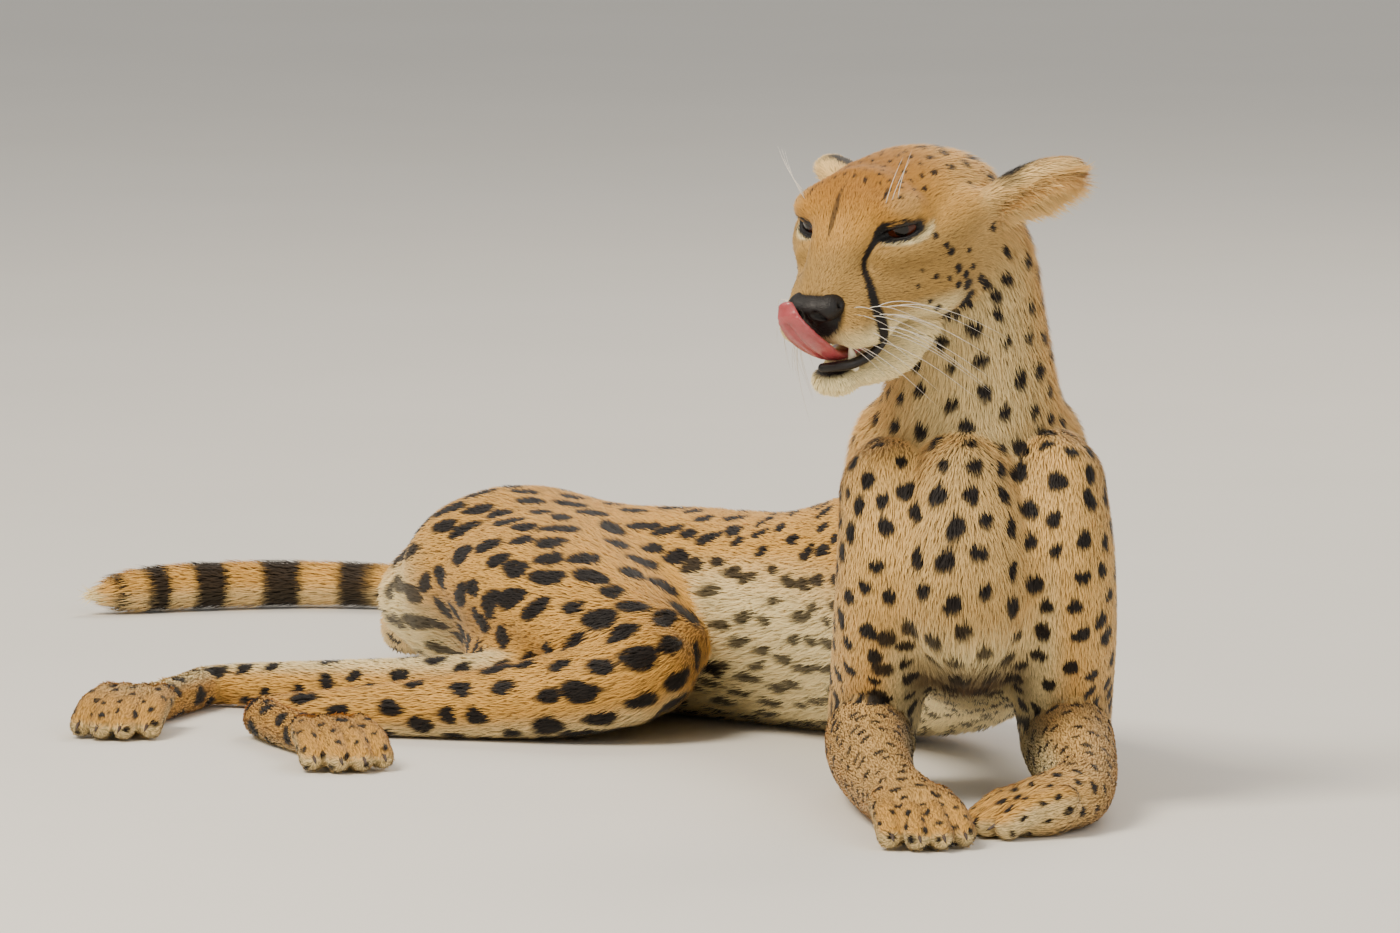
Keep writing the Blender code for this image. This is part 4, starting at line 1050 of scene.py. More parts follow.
def ear_backs(points):
    """The dark patch on the back of each ear."""
    dark = np.zeros(len(points))
    for name in EARS:
        middle, own = ear_frame(name)
        offset = head_mm(points) - middle
        along, behind = offset @ own[0], offset @ own[2]
        wide = offset @ own[1]
        patch = ramp(np.hypot(along + 3, wide * 0.6), 20, 14)
        patch *= ramp(behind - 5.5 * ramp(np.abs(wide), 12, 22), -1.5, -4.5)
        dark = np.maximum(dark, patch)
    return dark


def markings(points, with_tail=False, with_head=False):
    """Darkness of the spots and strokes, with tail rings or ear patches where asked."""
    dark = dark_at(points)
    if with_tail:
        dark = np.maximum(dark, tail_rings(points) * 0.97)
    if with_head:
        dark = np.maximum(dark, ear_backs(points))
    return dark


skin_dark = markings(skin_points, with_head=True)
tail_dark = tail_rings(skin_points) * (shares["tail"] > 0.5)
write(skin.data, "dark", np.maximum(skin_dark, tail_dark))
# the skin counts as the roots of the hair, so it takes their painted shade and is darker than the
# tips
write(skin.data, "tip", np.zeros(len(skin_points)))
write(skin.data, "shade", np.full(len(skin_points), 0.5))
print("dark share of the skin:", round(float(skin_dark.mean()), 3))

# %% [markdown]
# ## Finishes
# Each finish begins with what the real one is. Colours are written as screen colours
# and turned to linear light by one function, and one small function adds a node with
# its settings and links. Most finishes run between two tones in patches and have a fine
# grain, so both can be asked for with the finish.

# %% Colour and node helpers
BLEND = {"data_type": "RGBA", "blend_type": "MIX"}
TINT = {"data_type": "RGBA", "blend_type": "MULTIPLY"}
SCALE_AND_ADD = {"operation": "MULTIPLY_ADD"}
MULTIPLY = {"operation": "MULTIPLY"}
DETAIL = 3.0        # finer and finer layers in a noise


def linear(code):
    """A screen colour such as #c79f68 as linear red, green, blue and alpha."""
    parts = [int(code[place:place + 2], 16) / 255 for place in (1, 3, 5)]
    return [part / 12.92 if part < 0.04045 else ((part + 0.055) / 1.055) ** 2.4
            for part in parts] + [1.0]


def output(item, name=None):
    """A socket as it is, or the named or first usable output of a node."""
    if isinstance(item, bpy.types.NodeSocket):
        return item
    usable = [socket for socket in item.outputs if not socket.is_unavailable]
    return next(socket for socket in usable if name in (None, socket.name))


def add_node(tree, kind, *values, settings=(), **named):
    """A node with its settings; values fill its inputs in order or by name."""
    node = tree.nodes.new(kind)
    for key, value in dict(settings).items():
        setattr(node, key, value)
    usable = [socket for socket in node.inputs if not socket.is_unavailable]
    pairs = list(zip(usable, values))
    for key, value in named.items():
        pairs.append((next(socket for socket in usable if socket.name == key.replace("_", " ")),
                      value))
    for socket, value in pairs:
        if isinstance(value, (bpy.types.NodeSocket, bpy.types.Node)):
            tree.links.new(output(value), socket)
        elif value is not None:
            socket.default_value = value
    return node


def set_input(tree, shader, name, value):
    """Links a node or a socket to a named input of a shader."""
    tree.links.new(output(value), shader.inputs[name])


def finish(name, tones=None, grain=None, **inputs):
    """A material with one Principled shader, given with the Object place of each point.

    tones: patches in each metre and the two colours that they run between.
    grain: ridges in each metre, their depth in metres and the strength of their shading.
    """
    material = bpy.data.materials.new(name)
    material.use_nodes = True
    tree = material.node_tree
    tree.nodes.clear()
    shader = add_node(tree, "ShaderNodeBsdfPrincipled", **inputs)
    place = output(add_node(tree, "ShaderNodeTexCoord"), "Object")
    if tones:
        patches = add_node(tree, "ShaderNodeTexNoise", Vector=place, Scale=tones[0],
                           Detail=DETAIL)
        set_input(tree, shader, "Base Color",
                  add_node(tree, "ShaderNodeMix", patches, linear(tones[1]), linear(tones[2]),
                           settings=BLEND))
    if grain:
        ridges = add_node(tree, "ShaderNodeTexNoise", Vector=place, Scale=grain[0],
                          Detail=DETAIL)
        set_input(tree, shader, "Normal",
                  add_node(tree, "ShaderNodeBump", Strength=grain[2], Distance=grain[1],
                           Height=ridges))
    add_node(tree, "ShaderNodeOutputMaterial", Surface=shader)
    return material, tree, shader, place


# %% [markdown]
# ## The coat
# Cheetah hair is short, straight and rather dull: it scatters light widely and shows a
# faint pale sheen. The roots are painted darker than the tips as painted shade deep in
# the coat, which gives the depth. Skin and tufts share the colours, mixed by the same masks.

# %% Hair colours
# gold and grey are deep partly as painted shade, since they also darken the head
TAN = "#e2ac51"
# brown is painted shade for the hollow between the forelegs
ZONES = {"gold": "#b0782a", "grey": "#a5864c", "pale": "#ffebb0", "brown": "#4f3820",
         "dark": "#150c07", "bare": "#0a0807"}


def coat_finish(name, roughness, bare_gloss):
    """Hair, or the hairy skin under it, coloured by the masks of the body."""
    material, tree, shader, place = finish(name, Roughness=roughness, Sheen_Weight=0.12,
                                           Sheen_Roughness=0.5, Specular_IOR_Level=0.30)
    masks = {mask: output(add_node(tree, "ShaderNodeAttribute",
                                   settings={"attribute_name": mask}), "Fac")
             for mask in (*ZONES, "shade", "tip")}
    hair = linear(TAN)
    for zone, code in ZONES.items():
        hair = add_node(tree, "ShaderNodeMix", masks[zone], hair, linear(code), settings=BLEND)
    # patches about 3 cm wide, as where a coat is ruffled
    patches = add_node(tree, "ShaderNodeTexNoise", Vector=place, Scale=34.0, Detail=DETAIL)
    # light and dark locks at random, painted shade that darkens the roots under the tips, and the
    # patches
    light = 1.0
    for source, rise, least in ((masks["shade"], 0.34, 0.83), (masks["tip"], 0.62, 0.55),
                                (patches, 0.30, 0.85)):
        share = add_node(tree, "ShaderNodeMath", source, rise, least, settings=SCALE_AND_ADD)
        light = add_node(tree, "ShaderNodeMath", light, share, settings=MULTIPLY)
    grey = add_node(tree, "ShaderNodeCombineColor", light, light, light)
    set_input(tree, shader, "Base Color",
              add_node(tree, "ShaderNodeMix", 1.0, hair, grey, settings=TINT))
    if bare_gloss:
        set_input(tree, shader, "Roughness",
                  add_node(tree, "ShaderNodeMath", masks["bare"], -0.3, roughness,
                           settings=SCALE_AND_ADD))
        # hair about 1 mm apart
        ridges = add_node(tree, "ShaderNodeTexNoise", Vector=place, Scale=900.0, Detail=2.0)
        set_input(tree, shader, "Normal",
                  add_node(tree, "ShaderNodeBump", Strength=1.0, Distance=0.0006,
                           Height=ridges))
    return material


HAIR = coat_finish("Short animal hair", 0.66, False)
HIDE = coat_finish("Hide under the hair", 0.72, True)
skin.data.materials.append(HIDE)

# %% [markdown]
# ## Hair in tufts
# A coat is laid on the skin as tufts of three triangles, each pointing along the lie of
# the hair, lifted a little and raised in the middle. Particle hair would look the same but does not
# travel with a mesh, so a node tree strews the tufts and makes them real. Every tuft
# carries the colour masks of its root.

# %% One tuft in four bends
BLADE_FACES = [(0, 1, 3, 2), (2, 3, 4)]
BENDS = (-0.16, -0.05, 0.06, 0.17)
blades = bpy.data.collections.new("Tufts")
for bend in BENDS:
    mesh = bpy.data.meshes.new("tuft")
    mesh.from_pydata([(-0.5, -0.08, 0.0), (0.5, -0.08, 0.0), (-0.42 + bend, 0.50, 0.105),
                      (0.42 + bend, 0.50, 0.105), (2.6 * bend, 1.0, 0.02)], [], BLADE_FACES)
    blades.objects.link(bpy.data.objects.new("tuft", mesh))

# %% The tree that strews them


def strewing_tree():
    """Tufts strewn over the faces of one coat piece, each laid along the hair's lie."""
    tree = bpy.data.node_groups.new("Lay the coat", "GeometryNodeTree")
    for name, kind in (("Skin", "Geometry"), ("Piece", "Int"), ("Tufts", "Collection"),
                       ("Thickness", "Float"), ("Seed", "Int"), ("Finish", "Material")):
        tree.interface.new_socket(name, in_out="INPUT", socket_type="NodeSocket" + kind)
    tree.interface.new_socket("Coat", in_out="OUTPUT", socket_type="NodeSocketGeometry")
    given = tree.nodes.new("NodeGroupInput").outputs
    skin_value = {name: add_node(tree, "GeometryNodeInputNamedAttribute", name,
                                 settings={"data_type": kind})
                  for name, kind in (("piece", "INT"), ("lie", "FLOAT_VECTOR"),
                                     ("hair_density", "FLOAT"), ("hair_lift", "FLOAT"),
                                     ("hair_length", "FLOAT"), ("hair_width", "FLOAT"))}
    by_chance = {name: add_node(tree, "FunctionNodeRandomValue", low, high, Seed=seed,
                                settings={"data_type": "FLOAT"})
                 for name, low, high, seed in (("hair_lift", 0.3, 1.7, 5),
                                               ("stray", -0.20, 0.20, 6),
                                               ("hair_length", 0.72, 1.18, 7),
                                               ("hair_width", 0.75, 1.25, 8))}

    # roots on the faces of the piece, each keeping where it stands and how the skin faces
    here = add_node(tree, "FunctionNodeCompare", skin_value["piece"], given["Piece"],
                    settings={"data_type": "INT", "operation": "EQUAL"})
    density = add_node(tree, "ShaderNodeMath", skin_value["hair_density"],
                       given["Thickness"], settings=MULTIPLY)
    strewn = add_node(tree, "GeometryNodeDistributePointsOnFaces", given["Skin"],
                      Selection=here, Density=density, Seed=given["Seed"])
    normal = output(strewn, "Normal")
    rooted = output(strewn, "Points")
    for name, value in (("root", tree.nodes.new("GeometryNodeInputPosition")),
                        ("facing", normal)):
        rooted = add_node(tree, "GeometryNodeStoreNamedAttribute", rooted, Name=name,
                          Value=value, settings={"data_type": "FLOAT_VECTOR",
                                                 "domain": "POINT"})

    # the way of a tuft: along the skin, lifted off it and a little astray
    lift, long, wide = [add_node(tree, "ShaderNodeMath", skin_value[name], by_chance[name],
                                 settings=MULTIPLY)
                        for name in ("hair_lift", "hair_length", "hair_width")]
    level, steep = [add_node(tree, "ShaderNodeMath", lift, settings={"operation": kind})
                    for kind in ("COSINE", "SINE")]
    sideways = add_node(tree, "ShaderNodeVectorMath", normal, skin_value["lie"],
                        settings={"operation": "CROSS_PRODUCT"})
    along, outward, stray = [add_node(tree, "ShaderNodeVectorMath", way, Scale=amount,
                                      settings={"operation": "SCALE"})
                             for way, amount in ((skin_value["lie"], level), (normal, steep),
                                                 (sideways, by_chance["stray"]))]
    way = along
    for part in (outward, stray):
        way = add_node(tree, "ShaderNodeVectorMath", way, part, settings={"operation": "ADD"})
    turned = add_node(tree, "FunctionNodeAxesToRotation", way, normal,
                      settings={"primary_axis": "Y", "secondary_axis": "Z"})

    # one of the bent shapes for each root, made real and given its finish
    size = add_node(tree, "ShaderNodeCombineXYZ", wide, long, long)
    shapes = add_node(tree, "GeometryNodeCollectionInfo", given["Tufts"], True, True)
    which = add_node(tree, "FunctionNodeRandomValue", 0, len(BENDS) - 1, Seed=9,
                     settings={"data_type": "INT"})
    laid = add_node(tree, "GeometryNodeInstanceOnPoints", rooted, Instance=shapes,
                    Pick_Instance=True, Instance_Index=which, Rotation=turned, Scale=size)
    real = add_node(tree, "GeometryNodeRealizeInstances", laid)
    coloured = add_node(tree, "GeometryNodeSetMaterial", real, Material=given["Finish"])
    add_node(tree, "NodeGroupOutput", coloured)
    return tree


LAY_COAT = strewing_tree()
print("nodes in the tree:", len(LAY_COAT.nodes))

# %% Which coat piece each face belongs to
COAT_PIECES = ("coat_face", "coat_crown", "coat_neck", "coat_chest", "coat_loin", "coat_hips",
               "coat_forelegs", "coat_hind_legs", "coat_tail")
MOST_TUFTS = 62000
region = np.zeros((len(COAT_PIECES), len(skin_points)))
front = ramp(ahead, -40, -34)
region[0] = head_share * front
region[1] = head_share * (1 - front) + ears
region[2] = shares["neck"]
trunk_place = places["trunk"][:, 0]
first, second = ramp(trunk_place, 0.335, 0.345), ramp(trunk_place, 0.655, 0.665)
region[3] = shares["trunk"] * (1 - first)
region[4] = shares["trunk"] * first * (1 - second)
region[5] = shares["trunk"] * second
for row, pair in ((6, "fore"), (7, "hind")):
    region[row] = sum(share for name, share in shares.items() if pair in name)
region[8] = shares["tail"]
piece_of_point = np.argmax(region, axis=0)
starts = fetch(skin.data.polygons, "loop_start", kind=int)
first_corner = fetch(skin.data.loops, "vertex_index", kind=int)[starts]
piece_of_face = piece_of_point[first_corner]
CHART_PARTS = list(PARTS) + ["head", "ear_left", "ear_right"] + ["foot_" + f for f in FEET]
part_of_point = np.argmax(np.array([shares[name] for name in CHART_PARTS]), axis=0)
for name, values in (("piece", piece_of_face), ("part", part_of_point[first_corner])):
    layer = skin.data.attributes.new(name, "INT", "FACE")
    layer.data.foreach_set("value", values.astype(np.int32))
face_area = fetch(skin.data.polygons, "area", kind=float)
face_density = (tuft[:, 3] * TUFT_UNITS["hair_density"])[first_corner]
expected = np.bincount(piece_of_face, face_area * face_density, len(COAT_PIECES))
areas = np.bincount(piece_of_face, face_area, len(COAT_PIECES))
thickness = np.minimum(1.0, MOST_TUFTS / expected)
for name, count, area, share in zip(COAT_PIECES, expected, areas, thickness):
    print(f"{name}: {area * 1e4:.0f} cm2, {count:.0f} tufts wanted, thickness {share:.2f}")

# %% [markdown]
# ## A place in a chart for every tuft
# Each tuft has a tiny patch of its piece's chart, at the place of its root on the unrolled
# skin: limbs and trunk are unrolled like a sleeve, and the head like a globe.

# %% Charts
PATCH = 0.003           # width of a tuft's patch, as a share of the chart
EDGE = 0.02             # left free beside each column of the chart


def globe(offset):
    """Unrolls directions round a middle: turn and height as two numbers from 0 to 1."""
    way = unit(offset)
    return np.stack((np.arctan2(way[:, 1], way[:, 0]) / (2 * math.pi) + 0.5,
                     np.arcsin(np.clip(way[:, 2], -1, 1)) / math.pi + 0.5), axis=1)


def unroll(name, points):
    """Two numbers from 0 to 1 for each point of one part of the body."""
    if name in PARTS:
        _, _, place = PARTS[name].nearest(points)
        turn = np.arctan2(place[:, 1], place[:, 2]) / (2 * math.pi) + 0.5
        return np.stack((turn, place[:, 0]), axis=1)
    if name == "head":
        return globe(head_mm(points) - (-30, 0, -30))
    if name.startswith("ear"):
        middle, own = ear_frame(name[4:])
        offset = (head_mm(points) - middle) @ own.T
        side = np.where(offset[:, 2] > 0, 0.25, -0.25)
        return np.stack((0.5 + side + offset[:, 1] / 140, 0.5 + offset[:, 0] / 110), axis=1)
    knuckle, forward, length = FEET[name[5:]]
    return globe(points - np.array(knuckle) - unit(forward) * length * 0.3)


def chart(points, parts):
    """Where each root lies in its piece's chart, with one column for each body part."""
    found = np.unique(parts)
    where = np.zeros((len(points), 2))
    for column, part in enumerate(found):
        mine = parts == part
        unrolled = np.clip(unroll(CHART_PARTS[part], points[mine]), 0.0, 1.0)
        where[mine, 0] = (column + EDGE + (1 - 2 * EDGE) * unrolled[:, 0]) / len(found)
        where[mine, 1] = EDGE / 2 + (1 - EDGE) * unrolled[:, 1]
    return where


# %% Laying the coat
SOCKETS = {item.name: item.identifier for item in LAY_COAT.interface.items_tree}
# the five corners of a tuft: nearness to the tip, and whether root, middle or tip
TIP = np.array((0.0, 0.0, 0.55, 0.55, 1.0))
LEVELS = np.array((0, 0, 1, 1, 2))
LEAST_HEIGHT = 0.0003   # no hair goes through the floor
FACING_SHARE = 0.72     # how far a tuft is shaded like the skin under it
PATCH_SHAPE = PATCH * np.array(((-0.5, -0.5), (0.5, -0.5), (-0.4, 0.0), (0.4, 0.0), (0.0, 0.5)))


def lay_coat(number, name):
    """One plain mesh of tufts over one piece of the skin."""
    modifier = skin.modifiers.new("Coat", "NODES")
    modifier.node_group = LAY_COAT
    modifier[SOCKETS["Piece"]] = number
    modifier[SOCKETS["Tufts"]] = blades
    modifier[SOCKETS["Thickness"]] = float(thickness[number])
    modifier[SOCKETS["Seed"]] = SEED + number
    modifier[SOCKETS["Finish"]] = HAIR
    mesh = bpy.data.meshes.new_from_object(
        skin.evaluated_get(bpy.context.evaluated_depsgraph_get()))
    skin.modifiers.remove(modifier)
    mesh.name = name
    coat = bpy.data.objects.new(name, mesh)
    scene.collection.objects.link(coat)

    # how dark each tuft is at its root, its middle and its tip
    count = len(mesh.vertices) // len(TIP)
    roots = fetch(mesh.attributes["root"].data, "vector", 3)[::len(TIP)].astype(float) - SHIFT
    points = fetch(mesh.vertices, "co", 3)
    rows = points.reshape(count, len(TIP), 3) - SHIFT
    levels = np.concatenate((roots, rows[:, 2:4].mean(axis=1), rows[:, 4]))
    dark = markings(levels, name == "coat_tail", name == "coat_crown").reshape(3, count)
    write(mesh, "dark", (0.45 * dark[LEVELS] + 0.55 * dark[1]).T.ravel())
    random = np.random.default_rng(SEED + number)
    write(mesh, "shade", np.repeat(np.clip(random.normal(0.5, 0.2, count), 0, 1), len(TIP)))
    write(mesh, "tip", np.tile(TIP, count))
    points[:, 2] = np.maximum(points[:, 2], LEAST_HEIGHT)
    mesh.vertices.foreach_set("co", points.ravel())

    # its patch in the chart
    part = fetch(mesh.attributes["part"].data, "value", kind=np.int32)
    where = chart(roots, part[::len(TIP)])
    flat = np.repeat(where, len(TIP), axis=0) + np.tile(PATCH_SHAPE, (count, 1))
    order = fetch(mesh.loops, "vertex_index", kind=int)
    unwrapped = mesh.uv_layers.new(name="OFBake")
    unwrapped.data.foreach_set("uv", flat[order].astype(np.float32).ravel())
    mesh.update()

    # shading between that of the skin and its own
    facing = fetch(mesh.attributes["facing"].data, "vector", 3).astype(float)
    own = fetch(mesh.vertex_normals, "vector", 3)
    mesh.shade_smooth()
    blended = unit(FACING_SHARE * facing + (1 - FACING_SHARE) * own)
    mesh.normals_split_custom_set_from_vertices(blended.tolist())
    for spare in ("root", "facing", "lie", "hair_length", "hair_width", "hair_lift",
                  "hair_density", "piece", "part"):
        mesh.attributes.remove(mesh.attributes[spare])
    print(f"{name}: {count} tufts, {3 * count} triangles")
    return coat


coats = {name: lay_coat(number, name) for number, name in enumerate(COAT_PIECES)}
for blade in list(blades.objects):
    bpy.data.objects.remove(blade)

# %% [markdown]
# ## Eyes
# A cheetah's eye is dark amber with a round pupil, and the wet cornea gives one sharp
# light. The ball is a sphere with a slight bulge of the cornea, and each point knows
# its angle from the line of sight, so the rings of the iris stay in place whatever the
# shape of the lids.

# %% Eyeballs
PUPIL, IRIS = 0.29, 0.80        # radians from the line of sight
RAMP_END = 1.6                  # radians at the end of the ramp of colours
BALL_RINGS, BALL_SPOKES = 36, 48


def sleeve(start, rings, sides, joined=False):
    """Quads between rings of points; joined also ties the last ring to the first."""
    faces = []
    for ring in range(rings if joined else rings - 1):
        one, two = start + ring * sides, start + (ring + 1) % rings * sides
        for j in range(sides):
            after = (j + 1) % sides
            faces.append((one + j, two + j, two + after, one + after))
    return faces


def eyeball(name, side):
    """A ball whose points know their angle from the line of sight."""
    axes = eye_axes(side)
    points, gaze = [], []
    for angle in np.linspace(0.0, math.pi, BALL_RINGS + 1)[1:-1]:
        radius = EYE_RADIUS - 0.0009 + 0.0006 * float(ramp(angle, 0.62, 0.0))
        for spoke in np.arange(BALL_SPOKES) * 2 * math.pi / BALL_SPOKES:
            ray = np.array((math.cos(angle), math.sin(angle) * math.cos(spoke),
                            math.sin(angle) * math.sin(spoke)))
            points.append(eye_centre(side) + radius * ray @ axes)
            gaze.append(angle)
    faces = sleeve(0, BALL_RINGS - 1, BALL_SPOKES)
    points.append(eye_centre(side) + (EYE_RADIUS - 0.0003) * axes[0])
    points.append(eye_centre(side) - (EYE_RADIUS - 0.0009) * axes[0])
    gaze += [0.0, math.pi]
    front, back = len(points) - 2, len(points) - 1
    last = (BALL_RINGS - 2) * BALL_SPOKES
    for spoke in range(BALL_SPOKES):
        after = (spoke + 1) % BALL_SPOKES
        faces.append((front, spoke, after))
        faces.append((back, last + after, last + spoke))
    ball = add_piece(name, points, faces)
    face_outward(ball)
    write(ball.data, "gaze", np.array(gaze))
    return ball


def face_outward(piece):
    """Recalculates the normals of a closed mesh so that they point out."""
    form = bmesh.new()
    form.from_mesh(piece.data)
    bmesh.ops.recalc_face_normals(form, faces=form.faces)
    form.to_mesh(piece.data)
    form.free()


# wet cornea over a dark amber iris: one small bright light and deep brown below it
EYE, tree, shader, place = finish("Wet cornea and amber iris", Roughness=0.10, IOR=1.376,
                                  Coat_Weight=0.4, Coat_Roughness=0.03,
                                  Specular_IOR_Level=0.3)
angle = output(add_node(tree, "ShaderNodeAttribute", settings={"attribute_name": "gaze"}), "Fac")
# iris fibres about 0.7 mm apart
ridges = add_node(tree, "ShaderNodeTexNoise", Vector=place, Scale=1400.0, Detail=DETAIL)
fibres = add_node(tree, "ShaderNodeMath", ridges, 0.7, 0.5, settings=SCALE_AND_ADD)
outwards = add_node(tree, "ShaderNodeMath", angle, RAMP_END, settings={"operation": "DIVIDE"})
steps = add_node(tree, "ShaderNodeValToRGB", outwards)
ramp_points = steps.color_ramp.elements
ramp_points[0].color = linear("#040202")
ramp_points[-1].color = linear("#2a1a12")
rings = ((PUPIL / RAMP_END, "#060302"), (PUPIL / RAMP_END + 0.03, "#3f1a0b"),
         (0.40, "#52240f"), (IRIS / RAMP_END - 0.03, "#2a1107"),
         (IRIS / RAMP_END, "#0b0605"), (0.66, "#1a100b"))
for where, code in rings:
    ramp_points.new(where).color = linear(code)
grey = add_node(tree, "ShaderNodeCombineColor", fibres, fibres, fibres)
set_input(tree, shader, "Base Color",
          add_node(tree, "ShaderNodeMix", 1.0, steps, grey, settings=TINT))
eyes = {name: eyeball("eyeball_" + name, side) for name, side in SIDES.items()}
for ball in eyes.values():
    ball.data.materials.append(EYE)
print("eyeball radius", EYE_RADIUS)

# %% [markdown]
# ## Eyelids
# The rim of each lid is a bare black edge about 3 mm thick, drawn out to a point towards
# the nose. It is a tube of changing thickness round the slit, lying on the eyeball.

# %% Lid rims
RIM_STEPS, RIM_SIDES = 64, 10
SLIT_WIDE, SLIT_HIGH = 0.0132, 0.0052


def closed_tube(name, centres, radii, sides, material):
    """A ring-shaped tube through points, with its own radius at each."""
    centres = np.array(centres)
    ways = unit(np.roll(centres, -1, axis=0) - np.roll(centres, 1, axis=0))
    outs = unit(centres - centres.mean(axis=0))
    outs = unit(outs - np.sum(outs * ways, axis=1)[:, None] * ways)
    ups = np.cross(ways, outs)
    angles = np.arange(sides) * 2 * math.pi / sides
    points = (centres[:, None] + np.array(radii)[:, None, None]
              * (np.cos(angles)[None, :, None] * outs[:, None]
                 + np.sin(angles)[None, :, None] * ups[:, None])).reshape(-1, 3)
    faces = sleeve(0, len(centres), sides, joined=True)
    piece = add_piece(name, points, faces, material)
    face_outward(piece)
    return piece


def lid_rim(name, side, material):
    """The bare rim round the slit of one eye, drawn out towards the nose."""
    axes = eye_axes(side)
    centres, radii = [], []
    for turn in np.arange(RIM_STEPS) * 2 * math.pi / RIM_STEPS:
        across = SLIT_WIDE * math.cos(turn)
        up = SLIT_HIGH * math.copysign(abs(math.sin(turn)) ** 0.85, math.sin(turn)) - 0.0008
        inner = float(ramp(-math.cos(turn), 0.72, 1.0))
        across -= 0.0028 * inner
        up -= 0.0022 * inner
        deep = EYE_RADIUS + 0.0004
        out = math.sqrt(max(deep ** 2 - across ** 2 - up ** 2, 0.0000320)) + 0.0018 * inner
        centres.append(eye_centre(side) + np.array((out, across, up)) @ axes)
        radii.append(0.0014 - 0.0002 * inner + 0.0008 * max(math.sin(turn), 0.0))
    return closed_tube(name, centres, radii, RIM_SIDES, material)


# bare wet skin: almost black, with a soft broad shine
RIM_SKIN, *_ = finish("Bare black lid skin", grain=(1500.0, 0.0002, 1.0),
                      Base_Color=linear("#15100e"), Roughness=0.36, Specular_IOR_Level=0.45)
rims = {name: lid_rim("eyelids_" + name, side, RIM_SKIN) for name, side in SIDES.items()}
print("lid slit", 2000 * SLIT_WIDE, "by", 2000 * SLIT_HIGH, "mm")

# %% [markdown]
# ## Nose and tongue
# The nose pad is bare, black and finely pebbled, with comma-shaped nostrils that open
# to the sides. The tongue comes out over the lower lip and curls up to the nose, so its
# smooth underside shows. Both are written as distances, like the body, and given a
# fine grid of their own.

# %% Small forms with their own grid


def small_form(name, forms, cuts, cell, material):
    """A closed piece from a few forms, with others cut out of it."""
    def distance(p):
        total = np.full(len(p), FAR)
        for form in forms:
            total = soft_union(total, form.distance(p), form.blend)
        for form in cuts:
            total = -soft_union(-total, form.distance(p), form.blend)
        return total
    below = np.min([form.low for form in forms], axis=0)
    above = np.max([form.high for form in forms], axis=0)
    lines = [np.arange(a, b, cell) for a, b in zip(below, above)]
    points, quads = surface_net(sample_grid(distance, lines), lines)
    points = settle(distance, points, step=cell / 4, most=cell)
    return add_piece(name, points, quads, material)


# wet pebbled leather of the nose: black, pebbles 0.8 mm wide
NOSE_SKIN, tree, shader, place = finish("Pebbled black nose leather",
                                        tones=(180.0, "#080606", "#171211"),
                                        Roughness=0.46, Specular_IOR_Level=0.35,
                                        Coat_Weight=0.08, Coat_Roughness=0.3)
pebbles = add_node(tree, "ShaderNodeTexVoronoi", Vector=place, Scale=1200.0)
set_input(tree, shader, "Normal",
          add_node(tree, "ShaderNodeBump", Strength=0.8, Distance=0.0004,
                   Height=output(pebbles, "Distance")))
nose_forms = [head_blob((57.5, 0, -34.5), (13.5, 18.5, 8.5), blend=5, coat=0),
              head_tube(((58, 0, -38, 12.5, 9), (55.5, 0, -48, 7, 7), (52, 0, -55, 4, 5)),
                        blend=6, coat=0)]
nose_cuts = [head_tube(((55.5, 0, -58, 1.0, 4), (66, 0, -47, 0.8, 3.5), (73, 0, -38, 0.7, 3)),
                       blend=2, coat=0)]
for side in SIDES.values():
    nose_forms.append(head_blob((57, side * 13, -35), (11, 7.5, 8), blend=6, coat=0))
    nose_cuts.append(head_tube(((70, side * 6.0, -37, 3.0, 3.2), (66, side * 10, -38, 3.0, 3.8),
                                (61, side * 17, -34.5, 1.5, 2.0), (58, side * 21, -32, 1, 1.2)),
                               blend=2, coat=0))
nose = small_form("nose_pad", nose_forms, nose_cuts, 0.0009, NOSE_SKIN)
print("nose pad:", len(nose.data.polygons), "quads")

# %% Tongue
# wet flesh: light goes a little way in, and the film of water gives a sharp shine;
# papillae and fine folds are about 1 mm apart
FLESH, *_ = finish("Wet tongue flesh", tones=(160.0, "#8c2f31", "#b9555a"),
                   grain=(900.0, 0.0004, 0.7), Roughness=0.34, Subsurface_Weight=0.25,
                   Subsurface_Scale=0.004, Subsurface_Radius=(1.0, 0.35, 0.25),
                   Coat_Weight=0.45, Coat_Roughness=0.12)
tongue_rows = ((18, 0, -77, 12, 4), (42, 0, -75.5, 10.5, 4.2), (54, -1, -71, 11.5, 4.5),
               (65, -3, -61, 14.5, 4.5), (74, -5, -50, 13.5, 4.0), (78.5, -9, -38, 10, 3.2),
               (76, -12, -28, 6, 2.6))
groove_rows = [(row[0] + 3.2, row[1], row[2] - 2.9, 1.1, 1.5) for row in tongue_rows[2:6]]
tongue = small_form("tongue_curl", [head_tube(tongue_rows, blend=4, coat=0)],
                    [head_tube(groove_rows, blend=3, coat=0)], 0.0012, FLESH)
print("tongue:", len(tongue.data.polygons), "quads")

# %% [markdown]
# ## Lips and teeth
# The lower lip is a bare black roll that runs round the jaw to the corners of the mouth
# and hides the gums. One small canine stands behind it on each side.

